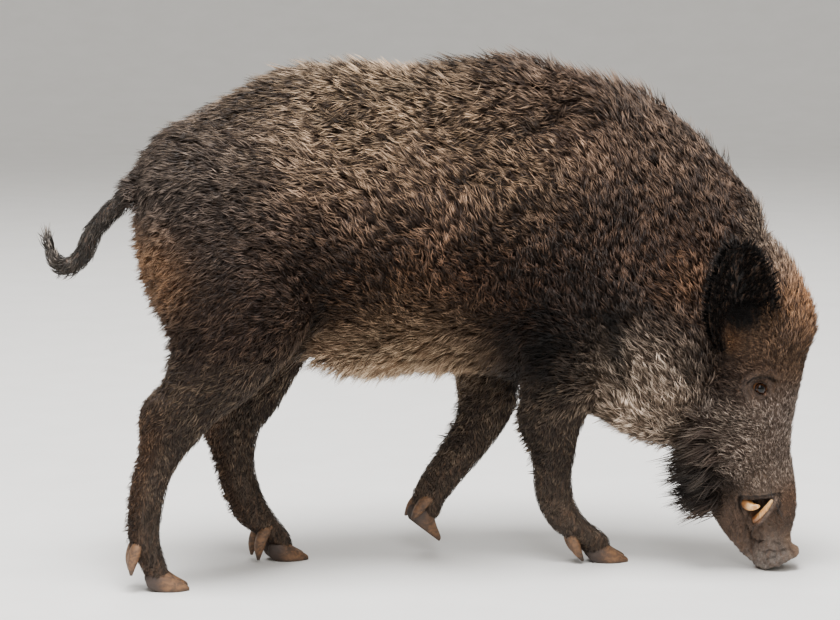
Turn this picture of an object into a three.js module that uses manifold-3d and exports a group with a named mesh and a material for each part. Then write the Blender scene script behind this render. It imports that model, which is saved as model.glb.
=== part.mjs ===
// Wild boar: an adult male, life size, walking with the snout to the ground.
// Millimetres, +X towards the head, +Y to the animal's left, +Z up.
// The forms are lofted through named slices, joined whole, and parted with thin cuts.
import * as THREE from "three";
import { mergeVertices } from "three/addons/utils/BufferGeometryUtils.js";
import Module from "manifold-3d";

const wasm = await Module();
wasm.setup();

// ---------------------------------------------------------------- driving dimensions
const PART_GAP = 0.3; // clear width of each cut between two nodes
const FLOOR = 0;
const WELD = 0.02; // corners closer than this are one corner
const PINCH = 0.05; // how far touching corners of two sheets are drawn apart
const BIG = 2000; // reach of a cutting block past the body
const TRUNK_SIDES = 18;
const HEAD_SIDES = 16;
const LEG_SIDES = 10;
const CLAW_SIDES = 10;

// Trunk and neck, rump to poll. Each slice runs from a point on the back to one on the
// belly or throat: [back x, back z, low x, low z, side y, half width, turn in degrees,
// narrowing of the back, narrowing of the belly].
const TRUNK = [
  [-28, 610, -25, 466, 0, 54, 0, 0.1, 0.1],
  [2, 652, 4, 396, 0, 102, 0, 0.15, 0.15],
  [60, 694, 60, 336, 0, 134, 0, 0.25, 0.2],
  [120, 728, 120, 318, 0, 152, 0, 0.3, 0.2],
  [200, 761, 200, 328, 0, 164, 0, 0.35, 0.2],
  [300, 765, 300, 304, 0, 174, 0, 0.35, 0.15],
  [400, 758, 400, 308, 0, 176, 0, 0.38, 0.15],
  [480, 771, 478, 300, 0, 172, 0, 0.42, 0.2],
  [560, 770, 552, 282, -2, 164, -3, 0.45, 0.25],
  [630, 750, 610, 258, -12, 154, -8, 0.45, 0.3],
  [700, 729, 652, 238, -34, 144, -14, 0.42, 0.3],
  [760, 697, 690, 216, -62, 134, -18, 0.4, 0.3],
  [824, 654, 722, 199, -92, 124, -18, 0.38, 0.3],
  [876, 596, 754, 190, -114, 112, -15, 0.35, 0.3],
  [904, 534, 800, 210, -127, 88, -13, 0.3, 0.3],
];

// The head keeps its own upright plane, turned a little to the right. Its places are
// [ahead, up] from the point where the snout meets the ground, and side is to the left.
const HEAD_ROOT = [927, -144];
const HEAD_TURN = -13;

// Head slices, poll to snout: [brow ahead, brow up, jaw ahead, jaw up, half width].
const HEAD = [
  [-26, 512, -100, 474, 54],
  [8, 476, -140, 422, 80],
  [35, 434, -166, 366, 92],
  [54, 384, -172, 316, 95],
  [46, 336, -166, 262, 92],
  [34, 288, -158, 214, 87],
  [26, 240, -144, 172, 81],
  [20, 200, -122, 138, 70],
  [25, 160, -94, 112, 60],
  [31, 124, -66, 92, 53],
  [32, 88, -50, 62, 47],
  [24, 58, -42, 34, 37],
];
const SNOUT = [
  [24, 60, -42, 36, 37],
  [23, 47, -38, 22, 36],
  [30, 38, -34, 10, 39],
  [36, 30, -31, 2, 40],
  [34, 22, -27, -4, 37],
];
const JAW = [
  [-40, 150, -122, 124, 42],
  [-44, 110, -102, 90, 40],
  [-44, 72, -84, 62, 34],
  [-41, 44, -66, 38, 25],
  [-37, 24, -50, 20, 17],
  [-38, 15, -45, 13, 8],
];
const JAW_PART = [-60, 106]; // corner of the mouth, where the lower jaw parts from the head
const LIP_GAP = 1.5; // clear width of the line of the mouth

// Legs are level slices, top to bottom: [z, x, y, half length, half width].
const LEGS = {
  hind_right: [
    [600, 108, -44, 44, 34], [552, 104, -66, 78, 54], [500, 104, -84, 98, 68], [430, 102, -96, 108, 72],
    [370, 98, -102, 92, 66], [318, 72, -102, 78, 56], [284, 34, -100, 76, 47],
    [255, 10, -98, 58, 39], [225, -4, -95, 44, 33], [196, -18, -92, 34, 28],
    [166, -30, -90, 29, 26], [136, -35, -88, 27, 24], [106, -39, -87, 24, 23],
    [76, -40, -86, 22, 25], [56, -32, -85, 19, 24], [40, -26, -85, 18, 24],
    [26, -20, -85, 16, 23],
  ],
  hind_left: [
    [600, 112, 44, 44, 34], [552, 118, 66, 78, 54], [500, 128, 84, 98, 66], [430, 146, 94, 110, 70],
    [370, 158, 98, 102, 64], [312, 156, 98, 88, 56], [270, 140, 96, 74, 48],
    [237, 130, 94, 66, 41], [206, 119, 92, 48, 34], [180, 123, 90, 38, 30],
    [150, 127, 89, 31, 27], [120, 135, 88, 30, 25], [92, 148, 87, 28, 24],
    [66, 161, 86, 30, 25], [50, 177, 85, 26, 26], [38, 191, 85, 20, 25],
    [26, 199, 85, 16, 23],
  ],
  fore_right: [
    [600, 560, -44, 44, 34], [552, 568, -68, 76, 54], [500, 582, -86, 96, 66], [430, 604, -92, 98, 70],
    [370, 616, -88, 86, 62], [316, 618, -76, 72, 52], [270, 606, -64, 64, 44],
    [238, 590, -56, 64, 39], [208, 589, -50, 52, 35], [178, 597, -46, 40, 31],
    [146, 601, -44, 34, 29], [116, 606, -42, 30, 26], [90, 615, -41, 27, 24],
    [66, 622, -40, 27, 25], [50, 632, -39, 26, 26], [38, 650, -39, 22, 25],
    [26, 664, -39, 18, 23],
  ],
  fore_left: [
    [600, 560, 44, 44, 34], [552, 562, 68, 74, 54], [500, 564, 84, 90, 64], [430, 562, 90, 90, 68],
    [370, 552, 90, 76, 60], [316, 538, 88, 62, 50], [270, 527, 86, 52, 42],
    [238, 523, 84, 54, 38], [207, 515, 83, 47, 35], [176, 498, 82, 42, 32],
    [145, 475, 81, 38, 31], [118, 453, 81, 34, 28], [96, 440, 80, 30, 25],
    [82, 433, 80, 24, 25], [72, 433, 80, 18, 24],
  ],
};

// Where each leg parts from the trunk and the upper leg from the shank.
const LEG_TOP = { hind_right: 322, hind_left: 322, fore_right: 238, fore_left: 252 };
const LEG_MID = { hind_right: 214, hind_left: 186, fore_right: 128, fore_left: 134 };
const LEG_REACH = {
  hind_right: [-120, 215, -220, -12], hind_left: [20, 262, 12, 220],
  fore_right: [500, 668, -220, 0], fore_left: [380, 600, 12, 220],
};

// Claws: place of the middle of the two soles, heading, tilt and height above ground,
// and where each dewclaw leaves the leg, [ahead, up], with its turn forwards.
const FEET = {
  hind_right: { x: 0, y: -85, lift: 0, pitch: 0, turn: -4, dew: { root: [-38, 76], lean: 0 } },
  hind_left: { x: 212, y: 85, lift: 0, pitch: 0, turn: 4, dew: { root: [-25, 56], lean: 0 } },
  fore_right: { x: 687, y: -39, lift: 0, pitch: 0, turn: -5, dew: { root: [-56, 57], lean: 36 } },
  fore_left: { x: 424, y: 80, lift: 42, pitch: 38, turn: 2, dew: { root: [-40, 60], lean: 12 } },
};
// A claw's level slices: [height, heel, toe, width against the sole's].
const CLAW = [[0, -25, 28, 1], [7, -34, 26, 1], [17, -37, 10, 0.97], [27, -33, -3, 0.86]];
const CLAW_WIDTH = 23;
const CLAW_SPLIT = 5; // gap between the two claws of a foot
const CLAW_POINT = { toe: 0.5, heel: 0.2 }; // how far a claw narrows at its ends
// A dewclaw's middle line from its root in the leg: [ahead, up, side, radius].
const DEWCLAW = [[0, 0, 12, 8], [-12, -10, 17, 9], [-19, -30, 20, 7.5], [-21, -49, 21, 2]];

const TAIL = [
  [-4, 598, 18], [-36, 577, 16], [-68, 551, 14], [-97, 527, 14], [-107, 500, 13],
  [-125, 481, 12], [-147, 480, 11], [-160, 495, 10], [-165, 516, 7], [-163, 532, 3],
];
// The room that the tail has to itself behind the rump: [low corner, high corner].
const TAIL_ROOM = [[[-300, -30, 556], [-24, 30, 604]], [[-300, -60, 440], [-60, 60, 604]]];
const TAIL_SPLIT = -84; // and in two lengths
const TORSO_CUTS = [238, 448];
const NECK_CUT = { place: [664, 0, 480], direction: [0.97, 0, -0.24] };
const POLL_CUT = { place: [-92, 352], direction: [0.92, -0.2, -0.34] };
const SNOUT_CUT = [0, 56];
const SIDES = [["right", -1], ["left", 1]];

const EYE = { ahead: -36, up: 289, side: 67, radius: 12.5 };
const LIDS = { mound: [21, 9, 15], slit: [12, 20, 5.5], side: 71, tilt: 62, slitOut: 10 };
const NOSTRIL = { place: [3, 9, 14], radii: [8, 6, 12], tilt: 26 };
const EAR = {
  ahead: -70, up: 372, side: 76, length: 158, half: 56, depth: 34, wall: 7, sink: 12,
  rootShare: 0.2, tipShare: 0.92, fullness: 0.7, depthFall: 0.6, wallFall: 0.5,
};
const EAR_LEAN = { back: 3, out: 22, twist: 66 };

// Canines: root, middle and tip as [ahead, up, side], with the root radius.
const TUSKS = {
  tusk_lower: { path: [[-56, 66, 14], [-43, 74, 38], [-29, 92, 51], [-13, 118, 56]], radius: 6.5 },
  tusk_upper: { path: [[-58, 120, 26], [-54, 110, 42], [-45, 104, 54], [-32, 106, 60]], radius: 7 },
};

// Coat locks: flat, tapered, lying back over the core. Lengths follow the skin.
const COAT = {
  rows: [0.5, 13.9], seed: 7, spacing: 154, rowStep: 116, length: 174, width: 118, thick: 9,
  rise: 20, sink: 12, backRise: 27, probe: 45, bend: 0.35, overhang: 0.25,
};
const BACK = { from: 2.6, to: 9, height: 0.6 }; // where the coat stands higher
const FLANK_HEIGHT = 0.5; // share of the way from a slice's middle to the back
const LOCK = {
  profile: [0.75, 1, 0.72], ridgeFall: 0.25, // width and ridge at the rings
  lying: { shares: [0, 0.3, 0.36, 0.34], heights: [0.22, 0.62, 1], stray: 0.3, sway: 0.24 },
  hanging: { shares: [0, 0.34, 0.34, 0.32], bend: 0.3, bendMore: 0.1 },
};
const VARIED = { little: 0.1, some: 0.12, more: 0.15 }; // shares that sizes vary by

// How steeply the coat falls: along the back, the flank, the belly and the rump.
const LIE = {
  back: 0.16, flank: 0.5, belly: 0.35, rump: 1.1, outwards: 0.2, neckHolds: 0.75,
  neck: [8.5, 11.5], rumpEnd: [0.4, 2], bellyTurn: -0.5,
};
const MANE = {
  rows: [2.6, 13.9], step: 70, length: 136, width: 62, rise: 31, spread: 0.13, part: 0.35,
  sideRise: 0.9, loin: [3, 6], loinDrop: 0.2, nape: [10, 11], napeDrop: 0.25,
};
const FRINGE = {
  rows: [4.7, 6.9], step: 60, length: 48, width: 54, turns: [-0.6, 0, 0.6],
  towards: [-0.9, 0.15, -0.35], hang: [-0.25, 0, -1],
};
const RUMP = {
  at: 1.4, count: 5, spread: 0.24, part: 0.25, lift: -0.12, length: 78, width: 46,
  hang: [-1, 0, -0.5],
};
// Rows of the beard: ahead, up, droop, and length against the whole.
const BEARD = {
  rows: [[-150, 212, 0.75, 0.45], [-138, 180, 0.8, 0.68], [-120, 150, 0.85, 0.8],
    [-100, 130, 0.95, 0.55]],
  sides: [-58, 0, 58], length: 104, width: 50, reach: 160, back: 60, aim: [70, 50, 0.4],
  towards: [-0.8, -0.5, 0.006], hang: [-0.45, -1, 0.002],
};
// Rows of the forehead: height, reach to each side, and the tips' rise.
const FOREHEAD = {
  rows: [[300, 52, 8], [356, 60, 10], [410, 66, 14], [462, 60, 18]], from: 200, reach: 300,
  spacing: 0.75, length: 84, width: 52, thick: 6, lie: [-0.15, 1],
};
const TAIL_TUFT = { count: 3, start: 0.5, spread: 0.3, back: 0.15, length: 30, width: 12, thick: 4 };
const LEG_CLEAR = 64; // locks begin this far above where a leg parts from the torso
const HEAD_CLEAR = 6;

const COLOURS = {
  coat: [0x3b322c, 0.85], face: [0x453830, 0.8], skin: [0x7b6558, 0.6],
  leg: [0x2e2824, 0.85], hoof: [0x8b6a4e, 0.5], ivory: [0xdcc39a, 0.35],
  eye: [0x2a1608, 0.1], ear: [0x14100d, 0.9],
};

// ------------------------------------------------------------------------- small maths
const radians = THREE.MathUtils.degToRad;

function smoothRow(rows, at) {
  const last = rows.length - 1;
  const i = Math.min(Math.floor(at), last - 1);
  const t = at - i;
  const [a, b, c, d] = [i - 1, i, i + 1, i + 2].map((k) => rows[Math.max(0, Math.min(last, k))]);
  return b.map((_, k) => 0.5 * (2 * b[k] + (c[k] - a[k]) * t
    + (2 * a[k] - 5 * b[k] + 4 * c[k] - d[k]) * t * t
    + (3 * b[k] - a[k] - 3 * c[k] + d[k]) * t * t * t));
}

function refine(rows, steps) {
  const out = [];
  for (let i = 0; i <= (rows.length - 1) * steps; i += 1) out.push(smoothRow(rows, i / steps));
  return out;
}

function headPlace([ahead, up, side = 0]) {
  const turn = radians(HEAD_TURN);
  return new THREE.Vector3(
    HEAD_ROOT[0] + ahead * Math.cos(turn) - side * Math.sin(turn),
    HEAD_ROOT[1] + ahead * Math.sin(turn) + side * Math.cos(turn),
    up,
  );
}

// ------------------------------------------------------------------- closed lofted forms
// Rings of equal length become a closed surface, each end filled by a fan to its middle.
function loft(rings) {
  const sides = rings[0].length;
  const points = rings.flat();
  const faces = [];
  for (let r = 0; r + 1 < rings.length; r += 1) {
    for (let k = 0; k < sides; k += 1) {
      const a = r * sides + k;
      const b = r * sides + (k + 1) % sides;
      faces.push([a, b, b + sides], [a, b + sides, a + sides]);
    }
  }
  const middle = (ring) => ring.reduce((s, p) => s.add(p), new THREE.Vector3()).divideScalar(sides);
  const first = points.push(middle(rings[0])) - 1;
  const last = points.push(middle(rings.at(-1))) - 1;
  const base = (rings.length - 1) * sides;
  for (let k = 0; k < sides; k += 1) {
    faces.push([first, (k + 1) % sides, k]);
    faces.push([last, base + k, base + (k + 1) % sides]);
  }
  return asSolid(points, faces);
}

// A solid whose faces are turned outwards whichever way its rings ran.
function asSolid(points, faces) {
  let volume = 0;
  for (const [a, b, c] of faces) {
    volume += points[a].dot(new THREE.Vector3().crossVectors(points[b], points[c]));
  }
  const turned = volume < 0 ? faces.map(([a, b, c]) => [a, c, b]) : faces;
  return new wasm.Manifold(new wasm.Mesh({
    numProp: 3,
    vertProperties: new Float32Array(points.flatMap((p) => [p.x, p.y, p.z])),
    triVerts: new Uint32Array(turned.flat()),
  }));
}

function fromGeometry(geometry) {
  const bare = geometry.clone();
  bare.deleteAttribute("normal");
  bare.deleteAttribute("uv");
  const merged = mergeVertices(bare, 1e-4);
  return new wasm.Manifold(new wasm.Mesh({
    numProp: 3,
    vertProperties: new Float32Array(merged.attributes.position.array),
    triVerts: new Uint32Array(merged.index.array),
  }));
}

// The corners and faces of a solid, as points and lists of three.
function cornersOf(solid) {
  const { vertProperties, triVerts } = solid.getMesh();
  const points = [];
  const faces = [];
  for (let i = 0; i < vertProperties.length; i += 3) {
    points.push(new THREE.Vector3(...vertProperties.slice(i, i + 3)));
  }
  for (let i = 0; i < triVerts.length; i += 3) faces.push([...triVerts.slice(i, i + 3)]);
  return { points, faces };
}

// Joins the two ends of every edge that is too short to matter.
function withoutShortEdges({ points, faces }) {
  const stands = points.map((_, i) => i);
  const find = (i) => (stands[i] === i ? i : find(stands[i]));
  for (const face of faces) {
    face.forEach((a, k) => {
      const [i, j] = [find(a), find(face[(k + 1) % 3])];
      if (i !== j && points[i].distanceTo(points[j]) < WELD) stands[j] = i;
    });
  }
  const kept = faces.map((face) => face.map(find)).filter(([a, b, c]) => a !== b && b !== c && c !== a);
  return { points, faces: kept };
}

// Where corners of two sheets meet in one place, draws each a hair into its own side.
function withoutPinches({ points, faces }) {
  const normals = points.map(() => new THREE.Vector3());
  for (const [a, b, c] of faces) {
    const ab = points[b].clone().sub(points[a]);
    const normal = ab.cross(points[c].clone().sub(points[a]));
    for (const i of [a, b, c]) normals[i].add(normal);
  }
  const used = [...new Set(faces.flat())];
  const places = new Map();
  for (const i of used) {
    const place = points[i].toArray().map((v) => Math.round(v / WELD)).join(" ");
    places.set(place, [...(places.get(place) ?? []), i]);
  }
  for (const group of places.values()) {
    if (group.length === 1) continue;
    for (const i of group) points[i].addScaledVector(normals[i].normalize(), -PINCH);
  }
  return { points, faces };
}

function asGeometry(solid) {
  const { points, faces } = withoutPinches(withoutShortEdges(cornersOf(solid)));
  const geometry = new THREE.BufferGeometry().setFromPoints(points);
  geometry.setIndex(faces.flat());
  return geometry;
}

// One solid of many, joined two by two.
function joined(solids) {
  let rest = solids;
  while (rest.length > 1) {
    const pairs = [];
    for (let i = 0; i < rest.length; i += 2) {
      pairs.push(i + 1 < rest.length ? rest[i].add(rest[i + 1]) : rest[i]);
    }
    rest = pairs;
  }
  return rest[0];
}

// A slice from a low point to a high point, rounded to the sides. The back and the
// belly may be narrower than the middle, and a roundness under 1 squares it.
function slice(high, low, sideways, half, sides, narrowHigh, narrowLow, roundness = 1) {
  const ring = [];
  const middle = high.clone().add(low).multiplyScalar(0.5);
  const rise = high.clone().sub(low).multiplyScalar(0.5);
  for (let k = 0; k < sides; k += 1) {
    const turn = (2 * Math.PI * k) / sides;
    const up = Math.sin(turn);
    const pinch = 1 - (up > 0 ? narrowHigh : narrowLow) * up * up;
    const across = Math.sign(Math.cos(turn)) * Math.abs(Math.cos(turn)) ** roundness;
    ring.push(middle.clone().addScaledVector(rise, up)
      .addScaledVector(sideways, half * across * pinch));
  }
  return ring;
}

function trunkRing([backX, backZ, lowX, lowZ, y, half, turn, back, belly]) {
  const yaw = radians(turn);
  const sideways = new THREE.Vector3(-Math.sin(yaw), Math.cos(yaw), 0);
  return slice(new THREE.Vector3(backX, y, backZ), new THREE.Vector3(lowX, y, lowZ),
    sideways, half, TRUNK_SIDES, back, belly);
}

function headRing([browAhead, browUp, jawAhead, jawUp, half], narrowBrow, narrowJaw, grow = 0) {
  const sideways = headPlace([0, 0, 1]).sub(headPlace([0, 0, 0]));
  return slice(headPlace([browAhead + grow, browUp]), headPlace([jawAhead - grow, jawUp]),
    sideways, half + grow, HEAD_SIDES, narrowBrow, narrowJaw, 0.85);
}

function legRing([z, x, y, long, wide]) {
  const ring = [];
  for (let k = 0; k < LEG_SIDES; k += 1) {
    const turn = (2 * Math.PI * k) / LEG_SIDES;
    ring.push(new THREE.Vector3(x + long * Math.cos(turn), y + wide * Math.sin(turn), z));
  }
  return ring;
}

// A round rod of changing thickness along a smooth path of [point, radius] places.
function rod(places, steps, sides, flatten = 1) {
  const rows = refine(places.map(([p, r]) => [p.x, p.y, p.z, r]), steps);
  const centres = rows.map((row) => new THREE.Vector3(row[0], row[1], row[2]));
  let across = new THREE.Vector3(0, 1, 0);
  const rings = rows.map((row, i) => {
    const ahead = centres[Math.min(i + 1, rows.length - 1)].clone()
      .sub(centres[Math.max(i - 1, 0)]).normalize();
    across = across.clone().addScaledVector(ahead, -across.dot(ahead)).normalize();
    const over = new THREE.Vector3().crossVectors(ahead, across);
    const ring = [];
    for (let k = 0; k < sides; k += 1) {
      const turn = (2 * Math.PI * k) / sides;
      ring.push(centres[i].clone()
        .addScaledVector(across, row[3] * flatten * Math.cos(turn))
        .addScaledVector(over, row[3] * Math.sin(turn)));
    }
    return ring;
  });
  return loft(rings);
}

// ----------------------------------------------------------------------- the whole body
function trunkForm() {
  return loft(refine(TRUNK, 2).map(trunkRing));
}

function jawForm(grow) {
  return loft(JAW.map((row) => headRing(row, 0.1, 0.25, grow)));
}

// The skull with the snout, and the lower jaw that nests between the upper lips.
function headForms() {
  const skull = loft(refine(HEAD, 2).map((row) => headRing(row, 0.22, 0.3)));
  const corner = headPlace(JAW_PART);
  const ahead = headPlace([0.35, -1]).sub(headPlace([0, 0]));
  const [lower, upper] = split(jawForm(0), corner, ahead);
  const room = jawForm(LIP_GAP).intersect(beyond(corner, ahead, -PART_GAP / 2));
  return { head: withLids(withNostrils(skull.add(snoutForm())).subtract(room).add(upper)), lower };
}

function snoutForm() {
  return loft(SNOUT.map((row) => headRing(row, 0.05, 0.05)));
}

function legForm(name) {
  return loft(refine(LEGS[name], 1).map(legRing));
}

function tailForm() {
  return rod(TAIL.map(([x, z, r]) => [new THREE.Vector3(x, 0, z), r]), 2, 8);
}

// --------------------------------------------------------------------- feet and claws
// One claw in its own place: sole on z = 0, toe ahead, rounded at the outer wall and
// pointed at the toe. Grown, it cuts its own bed in the leg.
function clawForm(side, grow = 0) {
  const top = CLAW.length - 1;
  const rings = CLAW.map(([z, heel, toe, wide], level) => {
    const ring = [];
    const height = z + (level === 0 ? -grow : 0) + (level === top ? grow : 0);
    for (let k = 0; k < CLAW_SIDES; k += 1) {
      const turn = (2 * Math.PI * k) / CLAW_SIDES;
      const ahead = Math.cos(turn);
      const point = 1 - (ahead > 0 ? CLAW_POINT.toe : CLAW_POINT.heel) * ahead * ahead;
      const across = Math.sin(turn) * (CLAW_WIDTH / 2 * wide * point + grow);
      const out = (CLAW_SPLIT + CLAW_WIDTH * wide) / 2 + across;
      const along = (heel + toe) / 2 + ahead * ((toe - heel) / 2 + grow);
      ring.push(new THREE.Vector3(along, side * out, height));
    }
    return ring;
  });
  return loft(rings);
}

// A dewclaw, from its root in the leg, leaning forwards as it does on its foot.
function dewForm(side, { root, lean }, grow = 0) {
  const turn = radians(lean);
  const places = DEWCLAW.map(([x, z, y, r]) => {
    const ahead = root[0] + x * Math.cos(turn) - z * Math.sin(turn);
    const up = root[1] + x * Math.sin(turn) + z * Math.cos(turn);
    return [new THREE.Vector3(ahead, side * y, up), r + grow];
  });
  return rod(places, 1, 7);
}

function placedFoot(solid, foot) {
  return solid.rotate([0, foot.pitch, 0]).rotate([0, 0, foot.turn])
    .translate([foot.x, foot.y, foot.lift]);
}

// ----------------------------------------------------------------------- head's details
function tuskForm({ path, radius }, side, grow = 0) {
  const last = path.length - 1;
  return rod(path.map(([ahead, up, out], i) => {
    const thick = radius * (1 - 0.8 * (i / last) ** 1.5) + grow;
    return [headPlace([ahead, up, out * side]), thick];
  }), 2, 8);
}

function ball(centre, radii, turn = 0, detail = 9) {
  const geometry = new THREE.SphereGeometry(1, detail, Math.round(detail * 0.75));
  geometry.scale(...radii);
  geometry.rotateY(radians(turn));
  geometry.rotateZ(radians(HEAD_TURN));
  geometry.translate(centre.x, centre.y, centre.z);
  return fromGeometry(geometry);
}

// A leaf-shaped ear with a hollow cup, root at the origin, tip up, cup towards +X.
function earForm(side) {
  const turns = 12;
  const levels = 7;
  const rings = [];
  for (let i = 0; i <= levels; i += 1) {
    const t = i / levels;
    const share = THREE.MathUtils.lerp(EAR.rootShare, EAR.tipShare, t);
    const half = EAR.half * Math.sin(Math.PI * share) ** EAR.fullness;
    const depth = EAR.depth * (1 - EAR.depthFall * t);
    const wall = EAR.wall * (1 - EAR.wallFall * t);
    const ring = [];
    for (let k = 0; k < turns; k += 1) {
      const turn = (2 * Math.PI * k) / turns;
      const across = Math.cos(turn);
      const bend = depth * (across * across - 0.5);
      const height = EAR.length * t - EAR.sink;
      ring.push(new THREE.Vector3(bend + wall * Math.sin(turn), half * across, height));
    }
    rings.push(ring);
  }
  return loft(rings)
    .rotate([0, 0, side * EAR_LEAN.twist])
    .rotate([-side * EAR_LEAN.out, -EAR_LEAN.back, 0])
    .rotate([0, 0, HEAD_TURN])
    .translate(headPlace([EAR.ahead, EAR.up, side * EAR.side]).toArray());
}

// --------------------------------------------------------------------------- the coat
// Steady random numbers from 0 to 1.
function makeRandom(seed) {
  let state = seed;
  return () => {
    state = (state + 0x6d2b79f5) | 0;
    let t = Math.imul(state ^ (state >>> 15), 1 | state);
    t = (t + Math.imul(t ^ (t >>> 7), 61 | t)) ^ t;
    return ((t ^ (t >>> 14)) >>> 0) / 4294967296;
  };
}
const random = makeRandom(COAT.seed);
const vary = (value, share) => value * (1 + share * (2 * random() - 1));

// Finds the surface of a solid along a ray.
function makeFinder(solid) {
  const mesh = new THREE.Mesh(asGeometry(solid), new THREE.MeshBasicMaterial({ side: THREE.DoubleSide }));
  const caster = new THREE.Raycaster();
  return (from, direction, far) => {
    caster.set(from, direction);
    caster.far = far;
    const [hit] = caster.intersectObject(mesh);
    return hit && { point: hit.point.clone(), normal: hit.face.normal.clone() };
  };
}

// One lock: a ridge between two thin edges along a path, its root sunk, its tip a point.
function lockForm(path, width, thick) {
  const rings = path.slice(0, 3).map(({ point, normal, along }, i) => {
    const side = new THREE.Vector3().crossVectors(normal, along).normalize();
    const half = (width / 2) * LOCK.profile[i];
    const ridge = thick * (1 - LOCK.ridgeFall * i);
    return [
      point.clone().addScaledVector(side, half), point.clone().addScaledVector(normal, ridge),
      point.clone().addScaledVector(side, -half),
    ];
  });
  const points = [...rings.flat(), path.at(-1).point];
  const tip = points.length - 1;
  const faces = [[0, 1, 2]];
  for (let k = 0; k < 3; k += 1) {
    const next = (k + 1) % 3;
    for (const base of [0, 3]) {
      faces.push([base + k, base + next + 3, base + next], [base + k, base + k + 3, base + next + 3]);
    }
    faces.push([6 + k, tip, 6 + next]);
  }
  return asSolid(points, faces);
}

// A lock that keeps to the skin it lies on, rising slowly to its tip.
function lyingLock(find, start, lie, { length, width, rise, thick = COAT.thick }) {
  const { shares, stray } = LOCK.lying;
  const heights = [-COAT.sink, ...LOCK.lying.heights.map((share) => rise * share)];
  const path = [];
  let { point, normal } = start;
  let along = lie.clone().addScaledVector(normal, -lie.dot(normal)).normalize();
  along.applyAxisAngle(normal, stray * (random() - 0.5));
  const sway = LOCK.lying.sway * (random() - 0.5);
  heights.forEach((height, i) => {
    const step = length * shares[i];
    const next = point.clone().addScaledVector(along, step);
    const above = next.clone().addScaledVector(normal, COAT.probe);
    const hit = find(above, normal.clone().negate(), 2 * COAT.probe);
    if (hit && hit.normal.dot(normal) > COAT.bend) {
      point = hit.point;
      normal = hit.normal;
    } else {
      point = point.clone().addScaledVector(along, COAT.overhang * step);
    }
    along = along.addScaledVector(normal, -along.dot(normal)).normalize().applyAxisAngle(normal, sway);
    path.push({ point: point.clone().addScaledVector(normal, height), normal, along: along.clone() });
  });
  return lockForm(path, width, thick);
}

// A lock that leaves the skin and bends away to where it hangs.
function hangingLock(start, towards, hang, { length, width, thick = COAT.thick }) {
  const path = [];
  let point = start.point.clone().addScaledVector(start.normal, -COAT.sink);
  let along = towards.clone().normalize();
  const { shares, bend, bendMore } = LOCK.hanging;
  shares.forEach((share, i) => {
    point = point.clone().addScaledVector(along, (length + COAT.sink) * share);
    const side = new THREE.Vector3().crossVectors(start.normal, along);
    if (side.length() < 0.1) side.set(0, 1, 0);
    const normal = new THREE.Vector3().crossVectors(along, side.normalize()).normalize();
    path.push({ point, normal, along: along.clone() });
    along = along.lerp(hang, bend + bendMore * i).normalize();
  });
  return lockForm(path, width, thick);
}

// Middle, reach and forward direction of the trunk's slice at a place along its rows.
function trunkSection(at) {
  const [backX, backZ, lowX, lowZ, y, half, turn] = smoothRow(TRUNK, at);
  const yaw = radians(turn);
  const high = new THREE.Vector3(backX, y, backZ);
  const low = new THREE.Vector3(lowX, y, lowZ);
  return {
    middle: high.clone().add(low).multiplyScalar(0.5),
    rise: high.clone().sub(low).multiplyScalar(0.5),
    sideways: new THREE.Vector3(-Math.sin(yaw), Math.cos(yaw), 0).multiplyScalar(half),
  };
}

function forwardAt(at) {
  const top = TRUNK.length - 1;
  const ahead = trunkSection(Math.min(at + 0.3, top)).middle;
  return ahead.sub(trunkSection(Math.max(at - 0.3, 0)).middle).normalize();
}

// The outer skin round the trunk at a place along it and a turn about it.
function skinAt(find, at, turn) {
  const { middle, rise, sideways } = trunkSection(at);
  const out = rise.clone().multiplyScalar(Math.sin(turn)).addScaledVector(sideways, Math.cos(turn));
  const reach = out.length();
  out.normalize();
  const hit = find(middle.clone().addScaledVector(out, reach + 90), out.clone().negate(), 150);
  return hit;
}

// The way the coat lies: back along the trunk, and down its sides.
function lieAt(at, turn) {
  const neckness = THREE.MathUtils.smoothstep(at, ...LIE.neck);
  const rumpness = 1 - THREE.MathUtils.smoothstep(at, ...LIE.rumpEnd);
  const onFlank = Math.cos(turn) ** 2;
  const onBelly = Math.sin(turn) < LIE.bellyTurn ? LIE.belly : 0;
  const down = (LIE.back + LIE.flank * onFlank + onBelly) * (1 - LIE.neckHolds * neckness);
  const outwards = Math.sign(Math.cos(turn)) * LIE.outwards * (1 - neckness);
  const fall = down + LIE.rump * rumpness * onFlank;
  return forwardAt(at).negate().add(new THREE.Vector3(0, outwards, -fall));
}

// Places along the trunk, evenly spaced by length along the upper flank.
function evenPlaces(from, to, step) {
  const flank = (at) => {
    const { middle, rise } = trunkSection(at);
    return middle.addScaledVector(rise, FLANK_HEIGHT);
  };
  const places = [];
  let travelled = 0;
  let last = flank(from);
  for (let at = from; at <= to; at += 0.02) {
    const here = flank(at);
    travelled += here.distanceTo(last);
    last = here;
    if (travelled >= step) {
      travelled = 0;
      places.push(at);
    }
  }
  return places;
}

function legNear(point) {
  return Object.entries(LEG_REACH).some(([name, [x0, x1, y0, y1]]) => point.x > x0 && point.x < x1
    && point.y > y0 && point.y < y1 && point.z < LEG_TOP[name] + LEG_CLEAR);
}

// A direction in the head's plane, from ahead, up and side.
const headWay = (way) => headPlace(way).sub(headPlace([0, 0]));

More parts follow.
